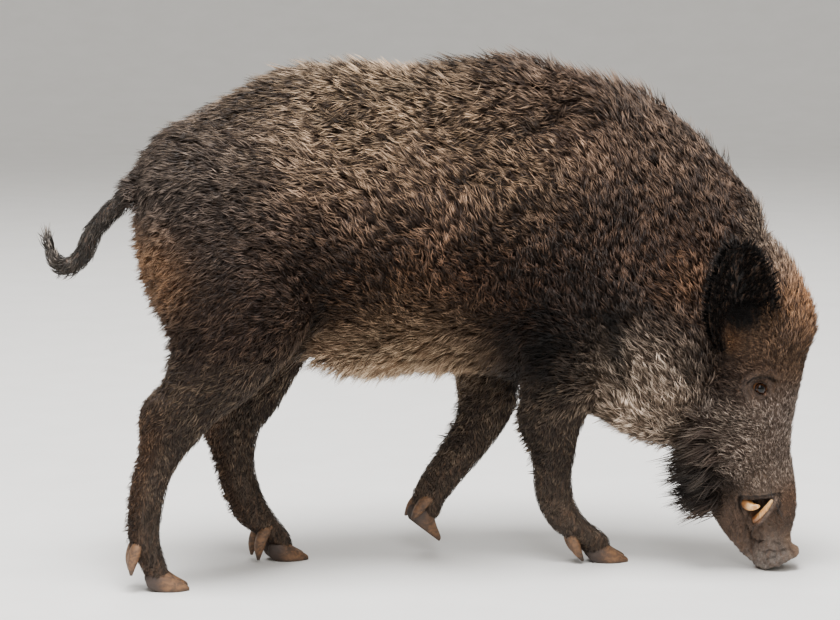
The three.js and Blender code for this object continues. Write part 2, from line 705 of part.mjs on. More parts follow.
function trunkLocks(find) {
  const locks = [];
  evenPlaces(...COAT.rows, COAT.rowStep).forEach((at, row) => {
    const { rise, sideways } = trunkSection(at);
    const round = Math.PI * (rise.length() + sideways.length());
    const count = 2 * Math.round(round / COAT.spacing / 2);
    for (let k = 0; k < count; k += 1) {
      const stray = 0.3 * (random() - 0.5);
      const turn = (2 * Math.PI * (k + (row % 2) / 2 + stray)) / count + Math.PI / 2;
      const start = skinAt(find, at + 0.25 * (random() - 0.5), turn);
      if (!start || legNear(start.point) || nearHead(start.point)) continue;
      const onBack = Math.sin(turn) > BACK.height && at > BACK.from && at < BACK.to;
      const size = {
        length: vary(COAT.length, VARIED.some), width: vary(COAT.width, VARIED.some),
        rise: vary(onBack ? COAT.backRise : COAT.rise, VARIED.more),
      };
      locks.push(lyingLock(find, start, lieAt(at, turn), size));
    }
  });
  return locks;
}

// How far the mane stands up at a place along the trunk.
function maneRise(at, side) {
  const loin = MANE.loinDrop * (1 - THREE.MathUtils.smoothstep(at, ...MANE.loin));
  const nape = MANE.napeDrop * THREE.MathUtils.smoothstep(at, ...MANE.nape);
  return vary(MANE.rise, VARIED.some) * (side === 0 ? 1 : MANE.sideRise) * (1 - loin - nape);
}

// Bristles along the ridge from the poll to the loins, half raised.
function maneLocks(find) {
  const locks = [];
  evenPlaces(...MANE.rows, MANE.step).forEach((at, row) => {
    for (const side of row % 2 ? [0] : [-1, 1]) {
      const turn = Math.PI / 2 + MANE.spread * side + 0.04 * (random() - 0.5);
      const start = skinAt(find, at + 0.1 * side, turn);
      if (!start) continue;
      const rise = maneRise(at, side);
      const parting = new THREE.Vector3(0, -MANE.part * Math.cos(turn), 0);
      const lie = forwardAt(at).negate().add(parting);
      const length = vary(MANE.length, VARIED.little);
      locks.push(lyingLock(find, start, lie, { length, width: MANE.width, rise }));
    }
  });
  return locks;
}

// Long hair that hangs from the belly.
function fringeLocks(find) {
  const locks = [];
  const hang = new THREE.Vector3(...FRINGE.hang).normalize();
  const [back, out, down] = FRINGE.towards;
  evenPlaces(...FRINGE.rows, FRINGE.step).forEach((at, row) => {
    for (const turn of FRINGE.turns) {
      const start = skinAt(find, at + 0.2 * (row % 2), turn - Math.PI / 2);
      if (!start || legNear(start.point)) continue;
      const towards = new THREE.Vector3(back, out * turn, down);
      const length = vary(FRINGE.length, VARIED.more);
      locks.push(hangingLock(start, towards, hang, { length, width: FRINGE.width }));
    }
  });
  return locks;
}

// The tuft over the root of the tail.
function rumpLocks(find) {
  const locks = [];
  const hang = new THREE.Vector3(...RUMP.hang).normalize();
  for (let k = 0; k < RUMP.count; k += 1) {
    const turn = Math.PI / 2 + RUMP.spread * (k - (RUMP.count - 1) / 2);
    const start = skinAt(find, RUMP.at, turn);
    if (!start) continue;
    const towards = new THREE.Vector3(-1, RUMP.part * Math.cos(turn), RUMP.lift);
    const length = vary(RUMP.length, VARIED.little);
    locks.push(hangingLock(start, towards, hang, { length, width: RUMP.width }));
  }
  return locks;
}

// Side whiskers and beard behind and below the jaw, pointing down and back.
function beardLocks(find) {
  const locks = [];
  const [aimAhead, aimUp, aimSide] = BEARD.aim;
  const [back, down, out] = BEARD.towards;
  const [hangBack, hangDown, hangOut] = BEARD.hang;
  BEARD.rows.forEach(([ahead, up, droop, share]) => {
    for (const side of BEARD.sides) {
      const from = headPlace([ahead - BEARD.back, up - BEARD.back, side]);
      const aim = headPlace([ahead + aimAhead, up + aimUp, side * aimSide]).sub(from).normalize();
      const start = find(from, aim, BEARD.reach);
      if (!start) continue;
      const towards = headWay([back, down * droop, side * out]);
      const hang = headWay([hangBack, hangDown, side * hangOut]).normalize();
      const length = vary(BEARD.length * share, VARIED.some);
      locks.push(hangingLock(start, towards, hang, { length, width: BEARD.width }));
    }
  });
  return locks;
}

// Short raised hair over the forehead and the cheeks, lying up and back to the poll.
function headLocks(find) {
  const locks = [];
  const { from, spacing, width, thick } = FOREHEAD;
  const lie = headWay(FOREHEAD.lie);
  FOREHEAD.rows.forEach(([up, reach, rise], row) => {
    for (let k = -1; k <= 1; k += 1) {
      const side = (k + (row % 2) * 0.5 - 0.25) * reach * spacing;
      const start = find(headPlace([from, up, side]), headWay([-1, 0]), FOREHEAD.reach);
      if (!start) continue;
      const length = vary(FOREHEAD.length, VARIED.little);
      locks.push(lyingLock(find, start, lie, { length, width, rise, thick }));
    }
  });
  return locks;
}

function tailLocks() {
  const { count, spread, back, length, width, thick } = TAIL_TUFT;
  const [x, z] = TAIL.at(-1);
  const [fromX, fromZ] = TAIL.at(-3);
  const along = new THREE.Vector3(x - fromX, 0, z - fromZ).normalize();
  const start = { point: new THREE.Vector3(TAIL.at(-2)[0], 0, TAIL.at(-2)[1]), normal: along };
  const locks = [];
  for (let k = 0; k < count; k += 1) {
    const turn = (2 * Math.PI * k) / count + TAIL_TUFT.start;
    const away = new THREE.Vector3(Math.cos(turn) * spread - back, Math.sin(turn) * spread, 0);
    const out = along.clone().add(away);
    locks.push(hangingLock(start, out, out.clone().normalize(), { length, width, thick }));
  }
  return locks;
}

// Rows of the neck end where the head begins.
function nearHead(point) {
  const ahead = new THREE.Vector3(...POLL_CUT.direction).normalize();
  return point.clone().sub(headPlace(POLL_CUT.place)).dot(ahead) > -HEAD_CLEAR;
}

function coatLocks(body) {
  const find = makeFinder(body);
  return [
    ...trunkLocks(find), ...maneLocks(find), ...fringeLocks(find), ...rumpLocks(find),
    ...beardLocks(find), ...headLocks(find), ...tailLocks(),
  ];
}

// ------------------------------------------------------------------------ cutting apart
function block(low, high) {
  const size = high.map((h, i) => h - low[i]);
  const geometry = new THREE.BoxGeometry(...size);
  geometry.translate(...low.map((l, i) => l + size[i] / 2));
  return fromGeometry(geometry);
}

// Everything on the far side of a plane through a point, along a direction.
function beyond(point, direction, shift) {
  const away = direction.clone().normalize();
  const cube = new THREE.BoxGeometry(BIG, BIG, BIG);
  cube.translate(BIG / 2 + shift, 0, 0);
  cube.applyQuaternion(new THREE.Quaternion().setFromUnitVectors(new THREE.Vector3(1, 0, 0), away));
  cube.translate(point.x, point.y, point.z);
  return fromGeometry(cube);
}

function largest(solid) {
  const pieces = solid.decompose();
  return pieces.reduce((best, next) => (next.volume() > best.volume() ? next : best));
}

// Splits a solid at a plane into the part beyond it and the rest, a thin gap apart.
function split(solid, point, direction) {
  const away = beyond(point, direction, PART_GAP / 2);
  const rest = beyond(point, direction, -PART_GAP / 2);
  return [solid.intersect(away), solid.subtract(rest)];
}

// Splits a solid into what lies in a room of blocks and the rest, a thin gap apart.
function splitRoom(solid, blocks) {
  const g = PART_GAP / 2;
  const room = (grow) => joined(blocks.map(([low, high]) => block(low.map((v) => v - grow),
    high.map((v) => v + grow))));
  return [solid.intersect(room(-g)), solid.subtract(room(g))];
}

const parts = new Map();

function keep(name, solid, colour) {
  parts.set(name, { solid: largest(solid), colour });
}

function makeFeet() {
  const beds = [];
  for (const [name, foot] of Object.entries(FEET)) {
    for (const [sideName, side] of SIDES) {
      keep(`hoof_${name}_${sideName}`, placedFoot(clawForm(side), foot), "hoof");
      keep(`dewclaw_${name}_${sideName}`, placedFoot(dewForm(side, foot.dew), foot), "hoof");
      beds.push(placedFoot(clawForm(side, PART_GAP), foot));
      beds.push(placedFoot(dewForm(side, foot.dew, PART_GAP), foot));
    }
  }
  return beds;
}

function eyeBall(side, place, radii, tilt) {
  const geometry = new THREE.SphereGeometry(1, 10, 7);
  geometry.scale(...radii);
  geometry.rotateY(radians(tilt));
  geometry.rotateZ(radians(HEAD_TURN));
  const at = headPlace([EYE.ahead, EYE.up, side * place]);
  geometry.translate(at.x, at.y, at.z);
  return fromGeometry(geometry);
}

// The lids stand round each eye as a low mound with a slit across it.
function withLids(head) {
  return SIDES.reduce((whole, [, side]) => whole
    .add(eyeBall(side, LIDS.side, LIDS.mound, LIDS.tilt))
    .subtract(eyeBall(side, LIDS.side + LIDS.slitOut, LIDS.slit, LIDS.tilt)), head);
}

function withNostrils(head) {
  return SIDES.reduce((whole, [, side]) => {
    const [ahead, up, out] = NOSTRIL.place;
    return whole.subtract(ball(headPlace([ahead, up, out * side]), NOSTRIL.radii, -NOSTRIL.tilt));
  }, head);
}

function makeHeadPieces() {
  const beds = [];
  for (const [sideName, side] of SIDES) {
    const eye = headPlace([EYE.ahead, EYE.up, side * EYE.side]);
    keep(`eye_${sideName}`, ball(eye, Array(3).fill(EYE.radius)), "eye");
    beds.push(ball(eye, Array(3).fill(EYE.radius + PART_GAP)));
    for (const [name, tusk] of Object.entries(TUSKS)) {
      keep(`${name}_${sideName}`, tuskForm(tusk, side), "ivory");
      beds.push(tuskForm(tusk, side, PART_GAP));
    }
  }
  return beds;
}

// Takes another solid away with the part gap to spare on every side.
function clearOf(solid, other) {
  const g = PART_GAP;
  const { min, max } = solid.boundingBox();
  const near = other.intersect(block(min.map((v) => v - 5), max.map((v) => v + 5)));
  const shifts = [[0, 0, 0], [g, 0, 0], [-g, 0, 0], [0, g, 0], [0, -g, 0], [0, 0, g], [0, 0, -g]];
  return shifts.reduce((rest, shift) => rest.subtract(near.translate(shift)), solid);
}

function makeEars(head) {
  for (const [sideName, side] of SIDES) keep(`ear_${sideName}`, clearOf(earForm(side), head), "ear");
}

function partLegs(body) {
  let rest = body;
  const upwards = new THREE.Vector3(0, 0, 1);
  for (const name of Object.keys(LEGS)) {
    const [x0, x1, y0, y1] = LEG_REACH[name];
    const [leg, left] = splitRoom(rest, [[[x0, y0, -BIG], [x1, y1, LEG_TOP[name]]]]);
    rest = left;
    const [upper, lower] = split(leg, new THREE.Vector3(0, 0, LEG_MID[name]), upwards);
    keep(`leg_${name}_upper`, upper, "leg");
    keep(`leg_${name}_lower`, lower, "leg");
  }
  return rest;
}

function partTrunk(body) {
  const back = new THREE.Vector3(-1, 0, 0);
  const ahead = new THREE.Vector3(1, 0, 0);
  const [tail, noTail] = splitRoom(body, TAIL_ROOM);
  const [tailTip, tailRoot] = split(tail, new THREE.Vector3(TAIL_SPLIT, 0, 0), back);
  keep("tail_root", tailRoot, "coat");
  keep("tail_tip", tailTip, "coat");
  const [pastRear, rear] = split(noTail, new THREE.Vector3(TORSO_CUTS[0], 0, 0), ahead);
  keep("torso_rear", rear, "coat");
  const [pastMiddle, middle] = split(pastRear, new THREE.Vector3(TORSO_CUTS[1], 0, 0), ahead);
  keep("torso_middle", middle, "coat");
  const [pastFront, front] = split(pastMiddle, new THREE.Vector3(...NECK_CUT.place),
    new THREE.Vector3(...NECK_CUT.direction));
  keep("torso_front", front, "coat");
  const [head, neck] = split(pastFront, headPlace(POLL_CUT.place),
    new THREE.Vector3(...POLL_CUT.direction));
  keep("neck", neck, "coat");
  return head;
}

const floorBlock = block([-BIG, -BIG, -BIG], [BIG, BIG, FLOOR]);
const beds = [...makeFeet(), ...makeHeadPieces()];
const { head: headSolid, lower: jawSolid } = headForms();
const legs = Object.keys(LEGS).map(legForm);
let body = joined([trunkForm(), headSolid, tailForm(), ...legs]).subtract(floorBlock);
const locks = coatLocks(body);
body = body.add(joined(locks));
let jaw = clearOf(jawSolid, body);
for (const bed of beds) {
  body = body.subtract(bed);
  jaw = jaw.subtract(bed);
}
keep("lower_jaw", jaw, "face");
makeEars(body);
const [snout, skull] = split(partTrunk(partLegs(body)), headPlace(SNOUT_CUT), new THREE.Vector3(0, 0, -1));
keep("head", skull, "face");
keep("snout", snout, "skin");

// ---------------------------------------------------------------------------- the group
function asMesh(name, { solid, colour }) {
  const geometry = asGeometry(solid);
  const [hex, roughness] = COLOURS[colour];
  const mesh = new THREE.Mesh(geometry, new THREE.MeshStandardMaterial({ color: hex, roughness }));
  mesh.name = name;
  return mesh;
}

const boar = new THREE.Group();
for (const [name, part] of parts) boar.add(asMesh(name, part));

const bounds = new THREE.Box3().setFromObject(boar);
const centre = bounds.getCenter(new THREE.Vector3());
boar.position.set(-centre.x, -centre.y, -bounds.min.z);

export default boar;
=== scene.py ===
"""Wild boar: the skin, coat, eyes, tusks and claws of a life-size walking model.

The forms follow named stations in millimetres, from the ground under the right hind foot:
x towards the head, y to the animal's left, z up. Finished meshes are in metres.
"""
import math
from contextlib import contextmanager

import bmesh
import bpy
import numpy as np
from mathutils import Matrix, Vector
from mathutils.bvhtree import BVHTree
from mathutils.kdtree import KDTree


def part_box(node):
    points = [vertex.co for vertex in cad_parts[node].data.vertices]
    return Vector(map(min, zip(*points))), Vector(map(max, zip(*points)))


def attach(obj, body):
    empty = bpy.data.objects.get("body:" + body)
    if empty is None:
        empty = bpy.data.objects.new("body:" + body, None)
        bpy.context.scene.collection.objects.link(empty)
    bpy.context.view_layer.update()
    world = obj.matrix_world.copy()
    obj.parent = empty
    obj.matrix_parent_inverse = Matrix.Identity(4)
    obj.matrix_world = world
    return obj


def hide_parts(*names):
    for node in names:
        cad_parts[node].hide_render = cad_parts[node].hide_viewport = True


bl_info = {
    "name": "Wild Boar",
    "version": (1, 0, 0),
    "blender": (4, 5, 0),
    "location": "View3D > Sidebar > Boar",
    "description": "Builds a wild boar's skin, coat, eyes, tusks and claws round its solids",
    "category": "Add Mesh",
}

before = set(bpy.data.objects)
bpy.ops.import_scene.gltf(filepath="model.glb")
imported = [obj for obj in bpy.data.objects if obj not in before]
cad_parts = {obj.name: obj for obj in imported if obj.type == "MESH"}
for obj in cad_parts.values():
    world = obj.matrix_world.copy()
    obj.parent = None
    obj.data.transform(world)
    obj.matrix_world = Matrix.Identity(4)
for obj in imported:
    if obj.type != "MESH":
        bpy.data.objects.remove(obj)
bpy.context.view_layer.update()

MM = 0.001
UP = np.array([0.0, 0.0, 1.0])
TORSO_CUT = 238.15  # the middle torso begins here
HIND_FOOT_Y = -85.0


def frame_shift():
    """The walk's origin in the frame, from the torso's cut and the right hind hooves."""
    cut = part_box("torso_middle")[0].x
    claws = [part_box(f"hoof_hind_right_{side}") for side in ("right", "left")]
    middle = sum(low.y + high.y for low, high in claws) / 4
    return np.array([cut - TORSO_CUT * MM, middle - HIND_FOOT_Y * MM, 0.0])


SHIFT = frame_shift()

# ---- stations
# Trunk and neck, rump to poll: back x, back z, low x, low z, side y, half width,
# turn in degrees, narrowing of the back, narrowing of the belly.
TRUNK = [
    (-20, 615, -15, 466, 0, 54, 0, 0.1, 0.1),
    (6, 664, 12, 396, 0, 102, 0, 0.15, 0.15),
    (60, 699, 60, 336, 0, 134, 0, 0.25, 0.2),
    (120, 728, 120, 318, 0, 152, 0, 0.3, 0.2),
    (200, 761, 200, 335, 0, 164, 0, 0.35, 0.2),
    (300, 765, 300, 304, 0, 174, 0, 0.35, 0.15),
    (400, 758, 400, 308, 0, 176, 0, 0.38, 0.15),
    (480, 771, 478, 300, 0, 172, 0, 0.42, 0.2),
    (560, 770, 552, 282, -2, 164, -3, 0.45, 0.25),
    (630, 750, 610, 258, -12, 154, -8, 0.45, 0.3),
    (700, 729, 652, 238, -34, 144, -14, 0.42, 0.3),
    (760, 697, 690, 216, -62, 134, -18, 0.4, 0.3),
    (824, 654, 722, 199, -92, 124, -18, 0.38, 0.3),
    (876, 596, 754, 190, -114, 112, -15, 0.35, 0.3),
    (904, 534, 800, 210, -127, 88, -13, 0.3, 0.3),
]
TRUNK_CORE = 8.0  # the skin lies this far under the coat of the trunk
TRUNK_STEPS = 5  # slices from one station to the next

# The head keeps its own upright plane. Its places are ahead, up and side, in
# millimetres from where the snout meets the ground.
HEAD_ROOT = (927, -144)
HEAD_TURN = math.radians(-13)
POLL = (-92, 352)
POLL_AHEAD = (0.92, -0.2, -0.34)
# brow ahead, brow up, jaw ahead, jaw up, half width, depth of the coat
HEAD = [
    (-26, 512, -100, 474, 54, 8),
    (8, 476, -140, 422, 80, 8),
    (35, 434, -166, 366, 92, 8),
    (54, 384, -172, 316, 95, 7),
    (46, 336, -166, 262, 92, 6),
    (34, 288, -158, 214, 87, 5),
    (26, 240, -144, 172, 81, 4.5),
    (20, 200, -122, 138, 70, 4.5),
    (25, 160, -94, 112, 60, 4),
    (31, 124, -66, 92, 53, 3),
    (32, 88, -50, 62, 47, 2),
    (24, 58, -42, 34, 37, 1),
]
SNOUT = [
    (24, 60, -42, 36, 37, 1),
    (23, 47, -38, 22, 36, 0.5),
    (30, 38, -34, 10, 39, 0),
    (36, 30, -31, 2, 40, 0),
    (34, 22, -27, -4, 37, 0),
]
JAW = [
    (-40, 150, -122, 124, 42, 4),
    (-44, 110, -102, 90, 40, 2),
    (-44, 72, -84, 62, 34, 1),
    (-41, 44, -66, 38, 25, 0.5),
    (-37, 24, -50, 20, 17, 0.5),
    (-38, 15, -45, 13, 8, 0.5),
]

# Forms of the head: rows, narrowing of the brow, narrowing of the jaw.
HEAD_FORMS = ((HEAD, 0.22, 0.3), (SNOUT, 0.05, 0.05), (JAW, 0.1, 0.25))

# Level slices of the legs, top to bottom: z, x, y, half length, half width.
LEGS = {
    "hind_right": [
        (600, 108, -44, 44, 34), (552, 104, -66, 78, 54), (500, 104, -84, 98, 68),
        (430, 102, -96, 108, 72), (370, 98, -102, 92, 66), (318, 72, -102, 78, 56),
        (284, 36, -100, 73, 47), (255, 12, -98, 55, 39), (225, -1, -95, 41, 33),
        (196, -16, -92, 31, 28), (166, -28, -90, 27, 26), (136, -34, -88, 25, 24),
        (106, -37, -87, 23, 23), (76, -38, -86, 21, 25), (56, -31, -85, 19, 24),
        (40, -26, -85, 18, 24), (26, -20, -85, 16, 23), (12, -16, -85, 13, 18),
    ],
    "hind_left": [
        (600, 112, 44, 44, 34), (552, 118, 66, 78, 54), (500, 128, 84, 98, 66),
        (430, 146, 94, 110, 70), (370, 158, 98, 102, 64), (312, 156, 98, 88, 56),
        (270, 142, 96, 72, 48), (237, 134, 94, 62, 41), (206, 124, 92, 43, 34),
        (180, 127, 90, 34, 30), (150, 130, 89, 28, 27), (120, 137, 88, 28, 25),
        (92, 148, 87, 28, 24), (66, 161, 86, 30, 25), (50, 177, 85, 26, 26),
        (38, 191, 85, 20, 25), (26, 199, 85, 16, 23), (12, 203, 85, 13, 18),
    ],
    "fore_right": [
        (600, 560, -44, 44, 34), (552, 568, -68, 76, 54), (500, 582, -86, 96, 66),
        (430, 604, -92, 98, 70), (370, 616, -88, 86, 62), (316, 618, -76, 72, 52),
        (270, 608, -64, 60, 44), (238, 597, -56, 54, 39), (208, 594, -50, 44, 35),
        (178, 600, -46, 34, 30), (146, 600, -44, 29, 27), (116, 602, -42, 28, 26),
        (90, 609, -41, 28, 25), (66, 624, -40, 29, 26), (50, 641, -39, 32, 26),
        (38, 658, -39, 30, 25), (26, 668, -39, 24, 23), (12, 674, -39, 16, 18),
    ],
    "fore_left": [
        (600, 560, 44, 44, 34), (552, 562, 68, 74, 54), (500, 564, 84, 90, 64),
        (430, 562, 90, 90, 68), (370, 552, 90, 76, 60), (316, 538, 88, 62, 50),
        (270, 532, 86, 47, 42), (238, 531, 84, 45, 38), (207, 521, 83, 40, 35),
        (176, 500, 82, 39, 32), (145, 477, 81, 36, 31), (118, 455, 81, 33, 28),
        (96, 440, 80, 30, 25), (82, 433, 80, 24, 25), (66, 432, 80, 19, 24),
        (54, 432, 80, 14, 18),
    ],
}
LEG_COAT = (-1.5, 3.0)  # depth of the coat at the foot and at the thigh
LEG_COAT_HEIGHTS = (20, 330)
LEG_TOPS = {"hind": 330, "fore": 262}  # where the coat of the legs gives way to the trunk's

# Claws: middle of the two soles, height, pitch and heading in degrees, where each dewclaw
# leaves the leg, ahead and up, and its lean forwards in degrees.
FEET = {
    "hind_right": (0, -85, 0, 0, -4, (-38, 76), 0),
    "hind_left": (212, 85, 0, 0, 4, (-33, 54), 0),
    "fore_right": (692, -39, 0, 0, -5, (-56, 57), 36),
    "fore_left": (425, 80, 37, 38, 2, (-20, 53), 12),
}
# height, heel, toe, width against the sole's
CLAW = [(0, -25, 28, 1.0), (7, -34, 26, 1.0), (17, -37, 10, 0.97), (27, -33, -3, 0.86)]
CLAW_WIDTH = 23
CLAW_SPLIT = 5
# A dewclaw from its root: ahead, up, side, radius.
DEWCLAW = [(0, 0, 12, 8), (-12, -10, 17, 9), (-19, -30, 20, 7.5), (-21, -49, 21, 2)]

TAIL = [
    (-4, 609, 19), (-36, 588, 16), (-68, 559, 14), (-96, 529, 14), (-106, 502, 14),
    (-124, 480, 14), (-145, 479, 13), (-158, 494, 12), (-164, 514, 8), (-164, 528, 3),
]
TAIL_COAT = 2.0
TAIL_LEAST = 2.0  # the tail's skin gets no thinner than this

EYE = {"ahead": -36, "up": 289, "side": 67, "radius": 13.0, "cornea": 1.1}
TUSKS = {
    "tusk_lower": ([(-46, 70, 14), (-34, 80, 38), (-24, 95, 51), (-12, 116, 56)], 8.8),
    "tusk_upper": ([(-51, 112, 28), (-48, 107, 45), (-42, 105, 54), (-31, 107, 59)], 10.0),
}
EAR = {"ahead": -70, "up": 372, "side": 76, "length": 158, "half": 56, "depth": 34, "wall": 5}
EAR_LEAN = {"back": 3, "out": 22, "twist": 66}
SIDES = (("right", -1), ("left", 1))


# ---- small maths
def smooth_rows(rows, steps):
    """Rows passed through smoothly, with the given steps between each two."""
    rows = np.asarray(rows, float)
    last = len(rows) - 1
    at = np.linspace(0, last, last * steps + 1)
    first = np.minimum(at.astype(int), last - 1)
    t = (at - first)[:, None]
    a, b, c, d = (rows[np.clip(first + k, 0, last)] for k in (-1, 0, 1, 2))
    cubic = (3 * b - a - 3 * c + d) * t ** 3
    return 0.5 * (2 * b + (c - a) * t + (2 * a - 5 * b + 4 * c - d) * t * t + cubic)


def ease(low, high, value):
    """0 below low, 1 above high, smooth between; low may be the greater."""
    t = np.clip((np.asarray(value, float) - low) / (high - low), 0, 1)
    return t * t * (3 - 2 * t)


def unit(vectors):
    """Vectors of length one."""
    return vectors / np.maximum(np.linalg.norm(vectors, axis=-1, keepdims=True), 1e-9)


def dot(a, b):
    return (a * b).sum(axis=-1)


def mix(a, b, share):
    """Rows from a to b, by each row's share."""
    return a + (b - a) * np.asarray(share, float)[..., None]


def linear(code):
    """A colour written as a web code, as linear red, green and blue."""
    parts = np.array([int(code[i:i + 2], 16) / 255 for i in (1, 3, 5)])
    return np.where(parts <= 0.04045, parts / 12.92, ((parts + 0.055) / 1.055) ** 2.4)


class Ripples:
    """Soft waves through space of one rough length, from -1 to 1."""

    def __init__(self, length, seed, stretch=(1, 1, 1), count=9):
        rng = np.random.default_rng(seed)
        way = unit(rng.normal(size=(count, 3)))
        self.waves = way * np.asarray(stretch) * 2 * math.pi / length
        self.waves *= rng.uniform(0.6, 1.6, (count, 1))
        self.starts = rng.uniform(0, 2 * math.pi, count)

    def __call__(self, points):
        waves = np.sin(points @ self.waves.T + self.starts)
        return waves.sum(axis=1) / math.sqrt(len(self.starts)) / 1.5


HEAD_AXES = np.array([
    [math.cos(HEAD_TURN), math.sin(HEAD_TURN), 0],
    [0, 0, 1],
    [-math.sin(HEAD_TURN), math.cos(HEAD_TURN), 0],
])


def head_place(places):
    """Places in the head's plane (ahead, up, side) as places of the walk."""
    return np.asarray(places, float) @ HEAD_AXES + np.array([*HEAD_ROOT, 0])


def in_head(points):
    """Places of the walk as ahead, up and side of the head's plane."""
    return (points - np.array([*HEAD_ROOT, 0])) @ HEAD_AXES.T


# ---- lofted forms
def slices(high, low, sideways, half, sides, narrow_high, narrow_low, roundness=1.0):
    """Rounded rings between high and low points, one for each row."""
    turn = np.linspace(0, 2 * math.pi, sides, endpoint=False)
    up = np.sin(turn)
    across = np.sign(np.cos(turn)) * np.abs(np.cos(turn)) ** roundness
    narrow = np.where(up > 0, np.reshape(narrow_high, (-1, 1)), np.reshape(narrow_low, (-1, 1)))
    out = np.reshape(half, (-1, 1)) * across * (1 - narrow * up * up)
    middle, rise = (high + low) / 2, (high - low) / 2
    rings = middle[:, None] + rise[:, None] * up[:, None]
    return rings + sideways[:, None] * out[..., None]


def trunk_rows(rows, depth=0.0):
    """High and low points, sideways directions, half widths and narrowings of trunk slices."""
    back_x, back_z, low_x, low_z, y, half, turn, narrow_back, narrow_low = np.asarray(rows).T
    high = np.stack([back_x, y, back_z], axis=1)
    low = np.stack([low_x, y, low_z], axis=1)
    inward = unit(low - high) * depth
    yaw = np.radians(turn)
    sideways = np.stack([-np.sin(yaw), np.cos(yaw), 0 * yaw], axis=1)
    return high + inward, low - inward, sideways, half - depth, narrow_back, narrow_low


def trunk_rings(sides=56):
    rows = smooth_rows(TRUNK, TRUNK_STEPS)
    high, low, sideways, half, back, belly = trunk_rows(rows, TRUNK_CORE)
    return slices(high, low, sideways, half, sides, back, belly)


def head_rings(rows, narrow_brow, narrow_jaw, steps=5, sides=48):
    brow_ahead, brow_up, jaw_ahead, jaw_up, half, depth = smooth_rows(rows, steps).T
    nothing = np.zeros_like(half)
    high = head_place(np.stack([brow_ahead - depth, brow_up, nothing], axis=1))
    low = head_place(np.stack([jaw_ahead + depth, jaw_up, nothing], axis=1))
    sideways = np.repeat(HEAD_AXES[2:], len(half), axis=0)
    flat = np.ones_like(half)
    return slices(high, low, sideways, half - depth, sides, narrow_brow * flat,
                  narrow_jaw * flat, 0.85)


def leg_rings(name, steps=4, sides=32):
    rows = smooth_rows(LEGS[name], steps)
    z, x, y, long, wide = rows.T
    depth = np.interp(z, LEG_COAT_HEIGHTS, LEG_COAT)
    turn = np.linspace(0, 2 * math.pi, sides, endpoint=False)
    rings = np.zeros((len(z), sides, 3))
    rings[..., 0] = x[:, None] + (long - depth)[:, None] * np.cos(turn)
    rings[..., 1] = y[:, None] + (wide - depth)[:, None] * np.sin(turn)
    rings[..., 2] = z[:, None]
    return rings


def rod_rings(places, radii, sides, flatten=1.0):
    """Rings round a path of points, with no twist between them."""
    places = np.asarray(places, float)
    ahead = unit(np.gradient(places, axis=0))
    across = np.array([0.0, 1.0, 0.0])
    turn = np.linspace(0, 2 * math.pi, sides, endpoint=False)
    rings = np.zeros((len(places), sides, 3))
    for i, way in enumerate(ahead):
        across = unit(across - way * dot(across, way))
        over = np.cross(way, across)
        rings[i] = places[i] + radii[i] * (flatten * np.outer(np.cos(turn), across)
                                           + np.outer(np.sin(turn), over))
    return rings


def tail_rings(depth=TAIL_COAT, steps=5, sides=20):
    x, z, radius = smooth_rows(TAIL, steps).T
    places = np.stack([x, 0 * x, z], axis=1)
    return rod_rings(places, np.maximum(radius - depth, TAIL_LEAST), sides)


def loft(rings):
    """Points and faces of a closed skin over rings, each end closed round its middle."""
    count, sides, _ = rings.shape
    points = np.concatenate([rings.reshape(-1, 3), rings[[0, -1]].mean(axis=1)])
    ring = np.arange(sides)
    following = (ring + 1) % sides
    faces = []
    for level in range(count - 1):
        a, b = level * sides + ring, level * sides + following
        faces += np.stack([a, b, b + sides, a + sides], axis=1).tolist()
    first, last = count * sides, count * sides + 1
    base = (count - 1) * sides
    faces += [[first, int(b), int(a)] for a, b in zip(ring, following)]
    faces += [[last, int(base + a), int(base + b)] for a, b in zip(ring, following)]
    return points, faces


def combined(forms):
    """Points and faces of several forms as one list."""
    points, faces, start = [], [], 0
    for some, of_them in forms:
        points.append(some)
        faces += [[start + i for i in face] for face in of_them]
        start += len(some)
    return np.concatenate(points), faces


# ---- meshes
def to_frame(points):
    """Walk places in millimetres as places of the shared frame in metres."""
    return np.asarray(points) * MM + SHIFT


def to_walk(points):
    return (np.asarray(points) - SHIFT) / MM


def new_object(name, mesh):
    thing = bpy.data.objects.new(name, mesh)
    bpy.context.scene.collection.objects.link(thing)
    return thing


@contextmanager
def editing(mesh):
    """A mesh to edit; what is done to it is kept at the end."""
    work = bmesh.new()
    work.from_mesh(mesh)
    yield work
    work.to_mesh(mesh)
    work.free()


def solid_object(name, points, faces):
    """A mesh object from walk places, its faces turned outwards."""
    mesh = bpy.data.meshes.new(name)
    mesh.from_pydata(to_frame(points).tolist(), [], faces)
    with editing(mesh) as work:
        bmesh.ops.recalc_face_normals(work, faces=work.faces)
    mesh.shade_smooth()
    return new_object(name, mesh)


def applied(thing):
    """Replaces an object's mesh with what its modifiers make of it."""
    graph = bpy.context.evaluated_depsgraph_get()
    made = bpy.data.meshes.new_from_object(thing.evaluated_get(graph))
    thing.modifiers.clear()
    thing.data = made
    return thing


def vectors(items, key):
    """A vector of each item of a mesh, as rows."""
    values = np.zeros(len(items) * 3, np.float32)
    items.foreach_get(key, values)
    return values.reshape(-1, 3).astype(float)


def coordinates(mesh):
    return vectors(mesh.vertices, "co")


def directions(mesh):
    """The outward direction at each point."""
    return vectors(mesh.vertex_normals, "vector")


def set_coordinates(mesh, points):
    mesh.vertices.foreach_set("co", np.asarray(points, np.float32).ravel())
    mesh.update()


def write_attribute(mesh, name, kind, values, key):
    attribute = mesh.attributes.new(name, kind, "POINT")
    attribute.data.foreach_set(key, np.asarray(values, np.float32).ravel())


def write_values(mesh, name, values):
    write_attribute(mesh, name, "FLOAT", values, "value")


